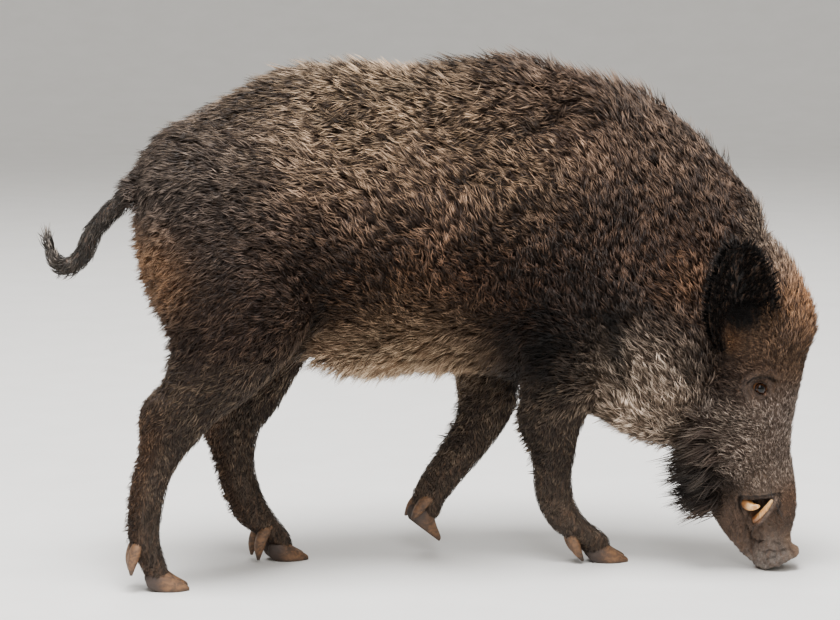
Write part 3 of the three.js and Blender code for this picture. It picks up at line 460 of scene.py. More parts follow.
def write_tones(mesh, name, tones):
    whole = np.column_stack([tones, np.ones(len(tones))])
    write_attribute(mesh, name, "FLOAT_COLOR", whole, "color")


def finish(thing, material, slot, *nodes):
    """Gives a piece its material, hangs it under the root, and hides the solids that it takes the
    place of.
    """
    thing.data.materials.clear()
    thing.data.materials.append(material)
    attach(thing, "root")
    if nodes:
        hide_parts(*nodes)
    return thing


# ---- shaders
class Value:
    """A shader socket that takes part in sums."""

    def __init__(self, tree, socket):
        self.tree = tree
        self.socket = socket

    def _math(self, operation, first, second):
        return self.tree.node("ShaderNodeMath", {"operation": operation}, {0: first, 1: second})

    def __add__(self, other):
        return self._math("ADD", self, other)

    def __rsub__(self, other):
        return self._math("SUBTRACT", other, self)

    def __mul__(self, other):
        return self._math("MULTIPLY", self, other)

    __radd__ = __add__
    __rmul__ = __mul__

    def stretch(self, low, high):
        """0 at low and 1 at high, kept between."""
        settings = {"interpolation_type": "SMOOTHSTEP"}
        values = {"Value": self, "From Min": low, "From Max": high}
        return self.tree.node("ShaderNodeMapRange", settings, values)


class Finish:
    """A material and the nodes that it is made of."""

    def __init__(self, name):
        self.material = bpy.data.materials.new(name)
        self.material.use_nodes = True
        self.nodes = self.material.node_tree.nodes
        self.links = self.material.node_tree.links
        self.shader = self.nodes["Principled BSDF"]

    def node(self, kind, settings=None, values=None, output=0):
        """Makes a node: its settings first, then the values or links of its sockets."""
        node = self.nodes.new(kind)
        for name, setting in (settings or {}).items():
            setattr(node, name, setting)
        for name, value in (values or {}).items():
            self.connect(node.inputs[name], value)
        return Value(self, node.outputs[output])

    def connect(self, socket, value):
        """Links a socket, or sets it to a number, a vector or a colour's web code."""
        if isinstance(value, Value):
            self.links.new(value.socket, socket)
        elif isinstance(value, str):
            socket.default_value = (*linear(value), 1.0)
        elif hasattr(value, "__len__"):
            socket.default_value = (*value, 1.0)[:len(socket.default_value)]
        else:
            socket.default_value = value

    def attribute(self, name, output="Fac"):
        return self.node("ShaderNodeAttribute", {"attribute_name": name}, output=output)

    def blend(self, share, first, second, way="MIX"):
        """Goes from the first colour to the second by the share."""
        settings = {"data_type": "RGBA", "blend_type": way}
        return self.node("ShaderNodeMix", settings, {0: share, 6: first, 7: second}, 2)

    def place(self):
        return self.node("ShaderNodeTexCoord", output="Object")

    def noise(self, scale, detail=3.0, roughness=0.6, stretch=None):
        where = self.place()
        if stretch:
            where = self.node("ShaderNodeMapping", {}, {"Vector": where, "Scale": stretch})
        values = {"Vector": where, "Scale": scale, "Detail": detail, "Roughness": roughness}
        return self.node("ShaderNodeTexNoise", {}, values)

    def bump(self, height, strength, distance):
        values = {"Height": height, "Strength": strength, "Distance": distance}
        return self.node("ShaderNodeBump", {}, values)

    def shade(self, **values):
        for name, value in values.items():
            self.connect(self.shader.inputs[name.replace("_", " ")], value)
        return self.material


# ---- head forms
# Paths on the head's plane, as (ahead, up), in millimetres.
MOUTH = [(-42, 72), (-40, 48), (-37, 14)]
MOUTH_OPENING = [(-33, 79), (-9, 119), (-57, 117)]  # anticlockwise
MOUTH_DEPTH = 22.0
GUM = (-34, 86)
TEAR_DUCT = (-27, 281)
LIP_RIDGE = [(-30, 77), (-19, 94), (-7, 116)]
# Folds, ridges and hollows of both flanks: a path, width and height.
FLANK_FORMS = [
    ([(-60, 304), (-45, 316), (-22, 319), (-6, 308)], 5.5, 3.4),  # brow
    ([(-52, 288), (-45, 275), (-32, 267)], 2.6, -1.6),  # fold under the lower lid
    ([(-52, 281), (-45, 268), (-32, 260)], 4.5, 1.4),
    ([(-40, 244), (-80, 258), (-122, 274)], 15, 5.0),  # cheek
    ([(-26, 215), (-38, 165)], 15, -3.0),
    ([(-48, 62), (-42, 74)], 11, 6.0),  # lips
    (LIP_RIDGE, 4.5, 6.5),
    ([(-63, 112), (-46, 86)], 6, 3.0),
    (MOUTH, 2.0, -1.8),
]
# Creases of both flanks: a path and width. Each is cut into the skin, and its colour is darkened
# with painted shade.
FACE_CREASES = [
    ([(-54, 300), (-44, 306), (-22, 306), (-10, 300)], 2.7),
    ([(-25, 275), (-23, 264)], 2.2),
    ([(-37, 49), (-30, 46), (-23, 48)], 2.2),
    ([(0, 121), (2, 108), (-2, 95)], 2.4),
    ([(-59, 120), (-61, 108), (-57, 97)], 2.4),
    ([(-58, 121), (-30, 122), (2, 124)], 1.3),
    ([(-32, 76), (-40, 60), (-38, 30)], 1.5),
]
CREASE_DEPTH = 1.7  # against a crease's width
SNOUT_CREASES = [
    [(-14, 34), (-2, 32), (13, 35)], [(-5, 46), (4, 43)], [(-22, 30), (-12, 34)],
    [(-16, 20), (-4, 25)], [(17, 42), (20, 33), (25, 28)],
]
SNOUT_CREASE_WIDTH = 1.5
SNOUT_FORMS = [(path, SNOUT_CREASE_WIDTH, -1.5) for path in SNOUT_CREASES]
SNOUT_FORMS += [([(-14, 44), (2, 52), (20, 54)], 2.4, -1.2)]
MUZZLE_FURROWS = [
    ([(30, 74), (12, 68)], 2.2, -1.2), ([(32, 90), (12, 84)], 2.2, -1.2),
    ([(31, 108), (10, 102)], 2.2, -1.2),
]
# Round swellings and hollows: ahead, up, width and height.
TUSK_BULGE = (-36, 104, 34, 9.0)
SNOUT_BALLS = [(32, 27, 7, 2.0), (35, 45, 10, -8.5)]
LID_OPENING = (11.6, 8.0)  # half length and half height of the eye's opening
LID_THICK = 2.2
LID_SPREAD = 11.5  # beyond this the lids fall off from the ball
EYE_REGION = (34, -12)  # how far round an eye, and how far inside, the lids are shaped
EYE_TILT = math.radians(-28)
NOSTRIL = {"ahead": 4, "side": 15, "radii": (9.0, 6.5), "depth": 13}
WRINKLES = Ripples(8, 61, (1, 0.6, 1))


def hill(distance, width):
    """1 on a line, falling to 0 within about twice the width."""
    return np.exp(-(distance / width) ** 2)


def path_distance(points, path):
    """How far each point of a plane is from a path of straight steps."""
    best = np.full(len(points), 1e9)
    for start, end in zip(path[:-1], path[1:]):
        start, end = np.asarray(start, float), np.asarray(end, float)
        step = end - start
        along = np.clip((points - start) @ step / (step @ step), 0, 1)
        best = np.minimum(best, np.linalg.norm(points - start - along[:, None] * step, axis=1))
    return best


def raised(plane, forms):
    """Height of folds, ridges and hollows along paths of a plane."""
    return sum(rise * hill(path_distance(plane, path), width) for path, width, rise in forms)


def swelling(plane, ball):
    """Height of a round swelling or hollow."""
    ahead, up, width, rise = ball
    return rise * hill(np.hypot(plane[:, 0] - ahead, plane[:, 1] - up), width)


def inside_shape(points, corners):
    """How deep each point lies inside a convex shape, in millimetres; outside is below 0."""
    corners = np.asarray(corners, float)
    depth = np.full(len(points), 1e9)
    for start, end in zip(corners, np.roll(corners, -1, axis=0)):
        step = unit(end - start)
        away = points - start
        depth = np.minimum(depth, step[0] * away[:, 1] - step[1] * away[:, 0])
    return depth


def eye_axes(side):
    """The eye's own directions on the head: outwards, along its opening and across it."""
    out = unit(np.array([0.22, 0.06, side * 1.0]))
    along = np.array([math.cos(EYE_TILT), math.sin(EYE_TILT), 0.0])
    along = unit(along - out * dot(along, out))
    return out, along, np.cross(out, along) * side


def eye_centre(side):
    return np.array([EYE["ahead"], EYE["up"], side * EYE["side"]])


def eye_reach(places, side):
    """Places about one eye: along and across it, outwards, and 1 at the opening's edge."""
    out, along, across = eye_axes(side)
    away = places - eye_centre(side)
    a, b, height = away @ along, away @ across, away @ out
    tall = LID_OPENING[1] * np.where(b < 0, 0.9, 1.05)
    return a, b, height, np.hypot(a / LID_OPENING[0], b / tall)


def shape_lids(places):
    """Head places round each eye, gathered into two lids over the ball."""
    for _, side in SIDES:
        out, along, across = eye_axes(side)
        a, b, height, round_it = eye_reach(places, side)
        flat = np.hypot(a, b)
        near = (flat < EYE_REGION[0]) & (height > EYE_REGION[1])
        ball = np.sqrt(np.maximum(EYE["radius"] ** 2 - np.minimum(flat, LID_SPREAD) ** 2, 0))
        lid = ball + LID_THICK - 0.5 * np.maximum(flat - LID_SPREAD, 0)
        lid = np.where(round_it < 1.02, ball - 4.0, lid)
        lid += 1.5 * hill(round_it - 1.2, 0.14)
        target = eye_centre(side) + a[:, None] * along + b[:, None] * across + lid[:, None] * out
        places = mix(places, target, ease(25, 13, flat) * near)
    return places


def snout_disc(places, normals):
    """How far inwards each head place goes for the nostrils, the rim and the disc's hollow."""
    ahead, up, side = places.T
    on_disc = ease(20, 8, up) * ease(0.15, 0.6, -normals[:, 1] + 0.35 * normals[:, 0])
    across, along = NOSTRIL["radii"]
    reach = np.hypot((ahead - NOSTRIL["ahead"]) / across, (np.abs(side) - NOSTRIL["side"]) / along)
    pit = NOSTRIL["depth"] * ease(1.05, 0.35, reach) - 1.6 * hill(reach - 1.3, 0.22)
    return on_disc * pit


def head_relief(places, normals):
    """Height of the head's folds, lips, ridges and furrows over its plain form."""
    plane = places[:, :2]
    ahead, up, side = places.T
    flank = ease(14, 26, np.abs(side))
    creases = [(path, width, -CREASE_DEPTH * width) for path, width in FACE_CREASES]
    high = raised(plane, FLANK_FORMS + creases) + swelling(plane, TUSK_BULGE)
    high += 1.6 * hill(path_distance(plane, MOUTH) - 6.5, 4.0)
    high -= MOUTH_DEPTH * ease(-1.0, 5.0, inside_shape(plane, MOUTH_OPENING))
    high *= flank
    high += raised(plane, SNOUT_FORMS) + sum(swelling(plane, ball) for ball in SNOUT_BALLS)
    high += raised(plane, MUZZLE_FURROWS) * ease(52, 10, np.abs(side))
    high += 2.4 * hill(up - 25, 6) * ease(-24, -6, ahead)
    high += 1.9 * WRINKLES(places) * ease(62, 44, up)
    return high - snout_disc(places, normals)


# Folds and muscle masses of the body: a path as (x, z), width and height; both sides. The sunken
# folds also get painted shade in their colour.
BODY_FOLDS = [
    ([(599, 685), (567, 672), (506, 650)], 9, -6),
    ([(640, 680), (632, 620), (606, 560), (600, 500)], 34, 7),
    ([(502, 593), (466, 592), (430, 600)], 9, -6),
    ([(218, 706), (280, 684), (339, 658)], 9, -6),
    ([(668, 392), (680, 340), (690, 291)], 14, -7),
    ([(566, 404), (580, 366), (570, 330)], 14, -5),
    ([(604, 356), (584, 345), (560, 352)], 9, -4),
    ([(720, 330), (755, 300), (782, 262)], 22, 5),
    ([(236, 420), (222, 372), (210, 330)], 20, -7),
    ([(60, 600), (110, 540), (120, 470)], 42, 6),
    ([(-4, 300), (6, 262), (-6, 226)], 9, -3),
    ([(300, 560), (380, 570), (450, 556)], 60, 4),
]
SOFT_RIPPLES = Ripples(95, 31)
FINE_RIPPLES = Ripples(34, 32)


def body_relief(points):
    """Height of the body's folds and masses over its plain form."""
    plane = points[:, [0, 2]]
    high = raised(plane, BODY_FOLDS) * ease(20, 70, np.abs(points[:, 1]))
    high += 1.8 * SOFT_RIPPLES(points) * ease(180, 320, points[:, 2])
    return high + 0.5 * FINE_RIPPLES(points) * ease(60, 160, points[:, 2])


# ---- skin
BASE_CELL = 6.5  # side of a cell of the fused skin, in millimetres
SMOOTHINGS = 7
UNWRAP_ANGLE = math.radians(66)
UNWRAP_MARGIN = 0.002


def flesh_forms():
    """Every form of flesh as one list of closed, overlapping lofts."""
    rings = [trunk_rings(), *(head_rings(*form) for form in HEAD_FORMS), tail_rings()]
    rings += [leg_rings(name) for name in LEGS]
    return combined([loft(some) for some in rings])


def fused_skin():
    """One closed skin over all the flesh forms."""
    skin = solid_object("skin", *flesh_forms())
    remesh = skin.modifiers.new("one_skin", "REMESH")
    remesh.mode = "VOXEL"
    remesh.voxel_size = BASE_CELL * MM
    smooth = skin.modifiers.new("soften", "SMOOTH")
    smooth.factor = 0.5
    smooth.iterations = SMOOTHINGS
    return applied(skin)


def refine_faces(mesh, wanted):
    """Halves the edges of the faces whose middles are wanted, and softens them."""
    with editing(mesh) as work:
        middles = np.array([face.calc_center_median()[:] for face in work.faces])
        chosen = wanted(to_walk(middles))
        edges = {edge for face, use in zip(work.faces, chosen) if use for edge in face.edges}
        made = bmesh.ops.subdivide_edges(work, edges=list(edges), cuts=1, use_grid_fill=True)
        inner = [item for item in made["geom_inner"] if isinstance(item, bmesh.types.BMVert)]
        for _ in range(2):
            bmesh.ops.smooth_vert(work, verts=inner, factor=0.5, use_axis_x=True,
                                  use_axis_y=True, use_axis_z=True)


def on_face(points):
    """The front half of the head, from the brow to the snout."""
    ahead, up, _ = in_head(points).T
    return (up < 335) & (ahead > -70) | (up < 120) & (ahead > -100) & (ahead < 80)


def on_fine_face(points):
    """The eyes, the mouth and the snout."""
    ahead, up, side = in_head(points).T
    eyes = (np.hypot(ahead - EYE["ahead"], up - EYE["up"]) < 40) & (np.abs(side) > 40)
    mouth = (path_distance(np.stack([ahead, up], axis=1), MOUTH) < 22) & (up > -10)
    return eyes | mouth | ((up < 60) & (ahead > -60) & (ahead < 80))


def sculpt(mesh):
    """Adds the folds of the body and the forms of the face."""
    points, normals = to_walk(coordinates(mesh)), directions(mesh)
    points = points + normals * body_relief(points)[:, None]
    places = in_head(points)
    head_normals = normals @ HEAD_AXES.T
    face = ease(440, 380, places[:, 1]) * ease(-150, -110, places[:, 0])
    places = places + head_normals * (head_relief(places, head_normals) * face)[:, None]
    places = shape_lids(places)
    points = mix(points, head_place(places), face > 0)
    set_coordinates(mesh, to_frame(points))


def triangulate(mesh):
    with editing(mesh) as work:
        bmesh.ops.triangulate(work, faces=work.faces)


def unwrap(thing, name):
    """Lays a mesh's own shape out flat as a UV map."""
    thing.data.uv_layers.new(name=name)
    bpy.context.view_layer.objects.active = thing
    thing.select_set(True)
    bpy.ops.object.mode_set(mode="EDIT")
    bpy.ops.mesh.select_all(action="SELECT")
    bpy.ops.uv.smart_project(angle_limit=UNWRAP_ANGLE, island_margin=UNWRAP_MARGIN)
    bpy.ops.object.mode_set(mode="OBJECT")
    thing.select_set(False)


class Surface:
    """A finished skin, as arrays and as a tree for finding its nearest places."""

    def __init__(self, mesh, lie):
        self.lie = lie
        mesh.calc_loop_triangles()
        corners = np.zeros(len(mesh.loop_triangles) * 3, np.int32)
        loops = np.zeros_like(corners)
        mesh.loop_triangles.foreach_get("vertices", corners)
        mesh.loop_triangles.foreach_get("loops", loops)
        self.faces = corners.reshape(-1, 3)
        self.points = to_walk(coordinates(mesh))
        self.normals = directions(mesh)
        flat = np.zeros(len(mesh.loops) * 2, np.float32)
        mesh.uv_layers.active.data.foreach_get("uv", flat)
        self.flat = flat.reshape(-1, 2)[loops].reshape(-1, 3, 2).astype(float)
        self.tree = BVHTree.FromPolygons(self.points.tolist(), self.faces.tolist())
        a, b, c = (self.points[self.faces[:, i]] for i in range(3))
        self.areas = np.linalg.norm(np.cross(b - a, c - a), axis=1) / 2
        self.middles = (a + b + c) / 3
        self.facings = unit(np.cross(b - a, c - a))

    def plant(self, density, seed):
        """Even roots: places, outward directions and places on the unwrap."""
        rng = np.random.default_rng(seed)
        total = np.cumsum(self.areas * np.maximum(density, 0))
        count = int(total[-1])
        picks = (np.arange(count) + rng.random(count)) * total[-1] / max(count, 1)
        face = np.searchsorted(total, picks)
        first, second = rng.random((2, count))
        over = first + second > 1
        first, second = np.where(over, 1 - first, first), np.where(over, 1 - second, second)
        share = np.stack([1 - first - second, first, second], axis=1)[..., None]
        corners = self.faces[face]
        places = (self.points[corners] * share).sum(axis=1)
        outwards = unit((self.normals[corners] * share).sum(axis=1))
        return places, outwards, (self.flat[face] * share).sum(axis=1)

    def nearest(self, points):
        """The closest places of the skin, their outward directions and their faces."""
        found = [self.tree.find_nearest(point) for point in points.tolist()]
        places = np.array([item[0][:] for item in found])
        faces = [item[2] for item in found]
        return places, self.facings[faces], faces


MADE = {}  # the skin's surface, once it is made


def skin_surface():
    if "surface" not in MADE:
        MADE["surface"] = Surface(bpy.data.objects["skin"].data, lie_of)
    return MADE["surface"]


# ---- where a place is, and lie
class Spots:
    """Where each place lies on the animal: along the trunk, on the head, legs or tail."""

    def __init__(self, points):
        self.points = points
        self.head = in_head(points)
        self.side = np.sign(points[:, 1] - np.interp(points[:, 0], (600, 900), (0, -127)))
        self._along_trunk(points)
        self._legs(points)
        past_poll = (self.head[:, :2] - POLL) @ np.array(POLL_AHEAD[:2])
        self.on_head = ease(-14, 26, past_poll) * (1 - self.on_leg)
        self.on_tail = ease(-30, -52, points[:, 0]) * ease(455, 475, points[:, 2])
        self.on_trunk = (1 - self.on_head) * (1 - self.on_leg) * (1 - self.on_tail)

    def _along_trunk(self, points):
        high, low, _, _, _, _ = trunk_rows(smooth_rows(TRUNK, TRUNK_STEPS))
        middles = (high + low) / 2
        ahead = unit(np.gradient(middles, axis=0))
        best = np.full(len(points), 1e9)
        station = np.zeros(len(points), int)
        for i, (middle, way) in enumerate(zip(middles, ahead)):
            away = points - middle
            score = np.abs(away @ way) + 0.2 * np.linalg.norm(away, axis=1)
            closer = score < best
            best[closer], station[closer] = score[closer], i
        self.at = station / TRUNK_STEPS
        self.ahead = ahead[station]
        span = (low - high)[station]
        self.fall = np.clip(dot(points - high[station], span) / dot(span, span), 0, 1)

    def _legs(self, points):
        self.on_leg = np.zeros(len(points))
        self.hind = np.zeros(len(points))
        self.rear = np.zeros(len(points))
        for name, rows in LEGS.items():
            z, x, y, long, wide = np.array(rows[::-1], float).T
            height = points[:, 2]
            away_x = (points[:, 0] - np.interp(height, z, x)) / np.interp(height, z, long)
            away_y = (points[:, 1] - np.interp(height, z, y)) / np.interp(height, z, wide)
            top = LEG_TOPS[name.split("_")[0]]
            share = ease(1.42, 1.12, np.hypot(away_x, away_y)) * ease(top + 60, top - 30, height)
            better = share > self.on_leg
            self.rear = np.where(better, -away_x, self.rear)
            self.hind = np.where(better, float(name.startswith("hind")), self.hind)
            self.on_leg = np.maximum(self.on_leg, share)


SWIRLS = Ripples(190, 41, (1, 1, 0.9))
WAVES = Ripples(85, 43, (0.9, 1, 1.2))
WISPS = Ripples(40, 42)
SWAYS = ((0.34, SWIRLS), (0.36, WAVES), (0.2, WISPS))  # how far each turns the hair's lie
# Places on the side as (x, z), their reach, and the way the hair points there, in degrees
# from forwards over upwards.
LIE_MARKS = [
    (-30, 515, 40, 216), (18, 545, 70, 205), (60, 700, 60, 185), (140, 590, 70, 183),
    (241, 720, 90, 174), (293, 635, 70, 162), (216, 500, 70, 128), (354, 560, 60, 150),
    (420, 740, 80, 178), (476, 484, 80, 120), (505, 687, 45, 205), (600, 740, 70, 165),
    (568, 600, 60, 138), (605, 466, 70, 112), (700, 628, 70, 128), (811, 665, 70, 122),
    (702, 432, 80, 110), (790, 480, 60, 112), (700, 284, 60, 132), (323, 409, 70, 130),
    (290, 335, 45, 228), (430, 320, 50, 215), (33, 394, 70, 214), (150, 380, 60, 212),
    (540, 318, 60, 245),
]


def trunk_lie(spots):
    """From the head over the neck and back, and down the rump; straight back on the spine."""
    angles = np.radians([mark[3] for mark in LIE_MARKS])
    ways = np.stack([np.cos(angles), 0 * angles, np.sin(angles)], axis=1)
    lie = unit(blended(LIE_MARKS, spots.points[:, [0, 2]], ways))
    spine = ease(0.14, 0.04, spots.fall)
    lie[:, 1] += spots.side * 0.15 * ease(0.5, 0.1, spots.fall)
    return mix(lie, -spots.ahead, spine * 0.7)


def head_lie(spots):
    """From the snout up to the poll, and back over the cheeks."""
    ahead, up, side = spots.head.T
    cheek = ease(-2, -60, ahead) * ease(120, 200, up)
    beard = ease(-60, -110, ahead) * ease(250, 190, up)
    lie = np.zeros_like(spots.head)
    lie[:, 0] = -0.28 - 1.0 * cheek - 0.6 * beard
    lie[:, 1] = 1.0 - 0.45 * cheek - 1.15 * beard
    lie[:, 2] = np.sign(side) * 0.12
    return lie @ HEAD_AXES


def leg_lie(spots):
    lie = np.tile([-0.32, 0.0, -1.0], (len(spots.points), 1))
    lie[:, 0] -= 0.8 * ease(200, 330, spots.points[:, 2])
    return lie


def tail_lie(points):
    x, z, _ = smooth_rows(TAIL, 6).T
    path = np.stack([x, 0 * x, z], axis=1)
    ways = unit(np.gradient(path, axis=0))
    nearest = np.linalg.norm(points[:, None] - path[None], axis=2).argmin(axis=1)
    return ways[nearest]


def lie_of(spots, outwards):
    """The coat's direction on the skin at each spot."""
    lie = unit(trunk_lie(spots)) * spots.on_trunk[:, None]
    lie += unit(head_lie(spots)) * spots.on_head[:, None]
    lie += unit(leg_lie(spots)) * spots.on_leg[:, None]
    tail = spots.on_tail > 0
    if tail.any():
        lie[tail] += tail_lie(spots.points[tail]) * spots.on_tail[tail, None]
    sideways = np.cross(outwards, lie)
    waves = sum(share * ripples(spots.points) for share, ripples in SWAYS)
    calm = np.maximum(0.6 * spots.on_head, 0.7 * ease(2.9, 1.6, spots.at) * spots.on_trunk)
    lie = lie + sideways * (waves * (1 - calm))[:, None]
    return unit(lie - outwards * dot(lie, outwards)[:, None])


# ---- tufts
TUFT_PATCH = 0.003  # a tuft's width and length on the unwrap
SUNK = 2.0  # a tuft's root lies this far inside the skin
PIECE_LIMIT = 199000  # triangles of one piece
# The triangles of a tuft: from a point, round a bend and to its tip; or from a base.
LIGHT_TUFT = [(0, 2, 1), (0, 3, 2), (0, 1, 3), (1, 2, 4), (2, 3, 4), (3, 1, 4)]
FULL_TUFT = [(0, 2, 1), (0, 1, 4), (0, 4, 3), (1, 2, 5), (1, 5, 4), (2, 0, 3), (2, 3, 5),
             (3, 4, 6), (4, 5, 6), (5, 3, 6)]


class Tufts:
    """Closed, tapered tufts in locks: where they start, bend and end."""

    def __init__(self, surface, density, seed, lock=10):
        self.rng = np.random.default_rng(seed)
        self.surface = surface
        self.roots, self.outwards, self.flat = surface.plant(density, seed)
        self.spots = Spots(self.roots)
        self.lie = surface.lie(self.spots, self.outwards)
        self.leader = self._leaders(lock)

    def _leaders(self, lock):
        """The nearest of every few roots; the tufts that share one form a lock."""
        chosen = np.arange(0, len(self.roots), lock)
        tree = KDTree(len(chosen))
        for i, root in enumerate(self.roots[chosen].tolist()):
            tree.insert(root, i)
        tree.balance()
        return chosen[[tree.find(root)[1] for root in self.roots.tolist()]]

    def vary(self, own, shared):
        """Random values about 0, partly the tuft's own and partly its lock's."""
        some = self.rng.normal(size=(2, len(self.roots)))
        return own * some[0] + shared * some[1][self.leader]

    def about(self, own, shared, low, high):
        """Random factors about 1, kept between the limits."""
        return np.clip(1 + self.vary(own, shared), low, high)

    def grow(self, length, rise, width, habit):
        """Lays the tufts down over the skin, their tips at the given height."""
        sideways = np.cross(self.outwards, self.lie)
        turn = self.vary(habit["stray"], habit["lock_stray"])
        lie = unit(self.lie + sideways * turn[:, None])
        length = length * self.about(0.14, 0.12, 0.5, 1.5)
        rise = rise * self.about(0.22, habit["lift"], 0.25, 1.9)
        self.width = width * self.about(0.25, 0, 0.5, 1.6)
        middle, end = (self.roots + lie * (length * share)[:, None] for share in (0.45, 1.0))
        middle = middle + sideways * (length * self.vary(habit["curl"], 0))[:, None]
        middle, middle_out, _ = self.surface.nearest(middle)
        end, end_out, _ = self.surface.nearest(end)
        self.middle = middle + middle_out * (rise * 0.58)[:, None]
        self.end = end + end_out * rise[:, None]
        return self.gather(habit["gather"] * ease(12, 40, length))

    def hang(self, length, direction, lifted, width, spread, gather):
        """Lets the tufts stand off in a direction of their own, bending into it."""
        length = length * self.about(0.14, 0.12, 0.5, 1.5)
        self.width = width * self.about(0.25, 0, 0.5, 1.6)
        stray = np.stack([self.vary(spread * 0.5, spread) for _ in range(3)], axis=1)
        away = unit(unit(direction) + stray)
        start = unit(away + self.outwards * lifted)
        self.middle = self.roots + start * (length * 0.45)[:, None]
        self.end = self.middle + away * (length * 0.55)[:, None]
        return self.gather(gather)

    def gather(self, share):
        """Draws each tuft's tip towards the tip of its lock, if their roots are near."""
        gap = self.roots[self.leader] - self.roots
        held = share * ease(34, 22, np.linalg.norm(gap, axis=1))
        self.end = mix(self.end, self.end[self.leader], held)
        self.middle = mix(self.middle, self.middle[self.leader], held * 0.45)
        return self

    def arrays(self, keep, full):
        """Points, triangles, unwrap places and each point's share of the way to the tip."""
        roots, outwards, middle, end = (
            values[keep] for values in (self.roots, self.outwards, self.middle, self.end))
        half = (self.width[keep] / 2)[:, None]
        across = unit(np.cross(outwards, unit(end - roots)))
        start = roots - outwards * SUNK
        bend = (middle, 1.0, 0.5)
        if full:
            levels, points, shares, patch = [(start, 0.7, 0.0), bend], [], [], []
        else:
            levels, points, shares, patch = [bend], [start], [0.0], [(0.0, 0.0)]
        for place, wide, share in levels:
            side, ridge = across * half * wide, outwards * half * wide * 0.9
            points += [place - side, place + side, place + ridge]
            shares += [share] * 3
            patch += [(-0.5, share), (0.5, share), (0.0, share + 0.04)]
        points.append(end)
        shares.append(1.0)
        patch.append((0.0, 1.0))
        size = len(points)
        points = np.stack(points, axis=1).reshape(-1, 3)
        pattern = np.array(FULL_TUFT if full else LIGHT_TUFT)
        faces = (np.arange(len(roots))[:, None, None] * size + pattern[None]).reshape(-1, 3)
        flat = self.flat[keep][:, None] + np.array(patch)[None] * TUFT_PATCH
        return points, faces, flat.reshape(-1, 2), np.tile(shares, len(roots)), size


def tuft_object(name, tufts, keep, full, tones):
    """A mesh of tufts with its unwrap, its colours and each point's share to the tip."""
    points, faces, flat, shares, size = tufts.arrays(keep, full)
    if len(faces) > PIECE_LIMIT:
        raise RuntimeError(f"{name} has {len(faces)} triangles")
    mesh = bpy.data.meshes.new(name)
    mesh.vertices.add(len(points))
    mesh.vertices.foreach_set("co", to_frame(points).astype(np.float32).ravel())
    mesh.loops.add(len(faces) * 3)
    mesh.loops.foreach_set("vertex_index", faces.astype(np.int32).ravel())
    mesh.polygons.add(len(faces))
    mesh.polygons.foreach_set("loop_start", np.arange(0, len(faces) * 3, 3, dtype=np.int32))
    mesh.update(calc_edges=True)
    mesh.shade_smooth()
    layer = mesh.uv_layers.new(name="OFBake")
    layer.data.foreach_set("uv", flat[faces.ravel()].astype(np.float32).ravel())
    base, tip, shade = (values[keep] for values in tones)
    write_values(mesh, "share", shares)
    write_values(mesh, "shade", np.repeat(shade, size))
    write_tones(mesh, "base_tone", np.repeat(base, size, axis=0))
    write_tones(mesh, "tip_tone", np.repeat(tip, size, axis=0))
    return new_object(name, mesh)


# ---- markings
# Marked places as (x, z), their reach, the undercoat's colour and the tips' colour.
BODY_MARKS = [
    (100, 735, 90, "#3a302a", "#a08b78"),
    (300, 705, 80, "#42342a", "#fad6ae"), (230, 790, 44, "#2a221d", "#75685b"),
    (340, 795, 44, "#28201b", "#71624f"), (450, 797, 36, "#241c18", "#6b5a49"),
    (420, 745, 60, "#33281f", "#b2967a"),
    (560, 745, 80, "#281d17", "#776150"),
    (30, 600, 90, "#2c2521", "#70655e"),
    (-30, 480, 36, "#7a5334", "#c29468"),
    (50, 440, 100, "#1f1510", "#47362b"),
    (250, 600, 80, "#261a14", "#6c5342"),
    (240, 480, 80, "#180f0a", "#3e2b20"),
    (252, 338, 34, "#6e5643", "#cdb294"),
    (330, 400, 60, "#23160d", "#6c4b30"),
    (350, 312, 52, "#957659", "#fbe2c0"),
    (432, 306, 40, "#86694f", "#e6c9a6"),
    (390, 600, 70, "#241812", "#6a503e"),
    (500, 610, 60, "#2e221b", "#a08468"),
    (480, 460, 80, "#1c110b", "#53392a"),
    (600, 480, 70, "#120a07", "#2d1f16"),
    (586, 360, 84, "#0d0907", "#1b1410"),
    (716, 640, 70, "#271b14", "#6e5746"),
    (790, 690, 50, "#281f19", "#665548"),
    (720, 450, 80, "#190f0a", "#3f2c1f"),
    (780, 436, 26, "#2e1e14", "#70513a"),
    (704, 284, 44, "#6c5a4b", "#f2dac2"),
    (745, 250, 26, "#7c6857", "#fbe3cb"),
    (650, 300, 26, "#1c1511", "#3f342c"),
    (784, 322, 44, "#1a120e", "#43352b"),
    (786, 262, 34, "#1c1512", "#463a32"),
]
# The same on the head, as (ahead, up).
HEAD_MARKS = [
    (36, 414, 34, "#4a311f", "#9d6838"),
    (4, 505, 40, "#332822", "#8a7867"),
    (12, 458, 26, "#3c2f27", "#917b66"),
    (30, 350, 34, "#4a382c", "#8f7054"),
    (0, 345, 30, "#33241b", "#6a523f"),
    (-50, 420, 30, "#33281f", "#77604a"),
    (-80, 368, 11, "#5a3c27", "#9a7350"),
    (-40, 385, 24, "#2a1f18", "#5b4635"),
    (-101, 292, 34, "#201713", "#4b3d33"),
    (-127, 246, 14, "#5a4e46", "#c6bbb0"),
    (-61, 222, 30, "#392d26", "#938577"),
    (-36, 287, 17, "#46372e", "#5f4d42"),
    (2, 200, 40, "#54453b", "#b8a699"),
    (-6, 150, 24, "#54463c", "#a3907f"),
    (10, 84, 30, "#43352b", "#6b5445"),
    (24, 110, 14, "#5e4330", "#8a6040"),
    (-66, 68, 26, "#4a3b32", "#6f5b4c"),
    (-145, 145, 46, "#161210", "#3d3732"),
    (-4, 24, 20, "#85776d", "#b3a9a0"),
    (-32, 44, 9, "#33271f", "#4a3a30"),
    (31, 30, 9, "#9c7658", "#c69f7c"),
    # a pale spot on the snout's top ridge: a painted highlight
    (20, 46, 7, "#8a6f5a", "#a98c72"),
]
LEG_TONES = ("#2b231e", "#70604f")
HOCK_TONES = ("#32241b", "#664d39")
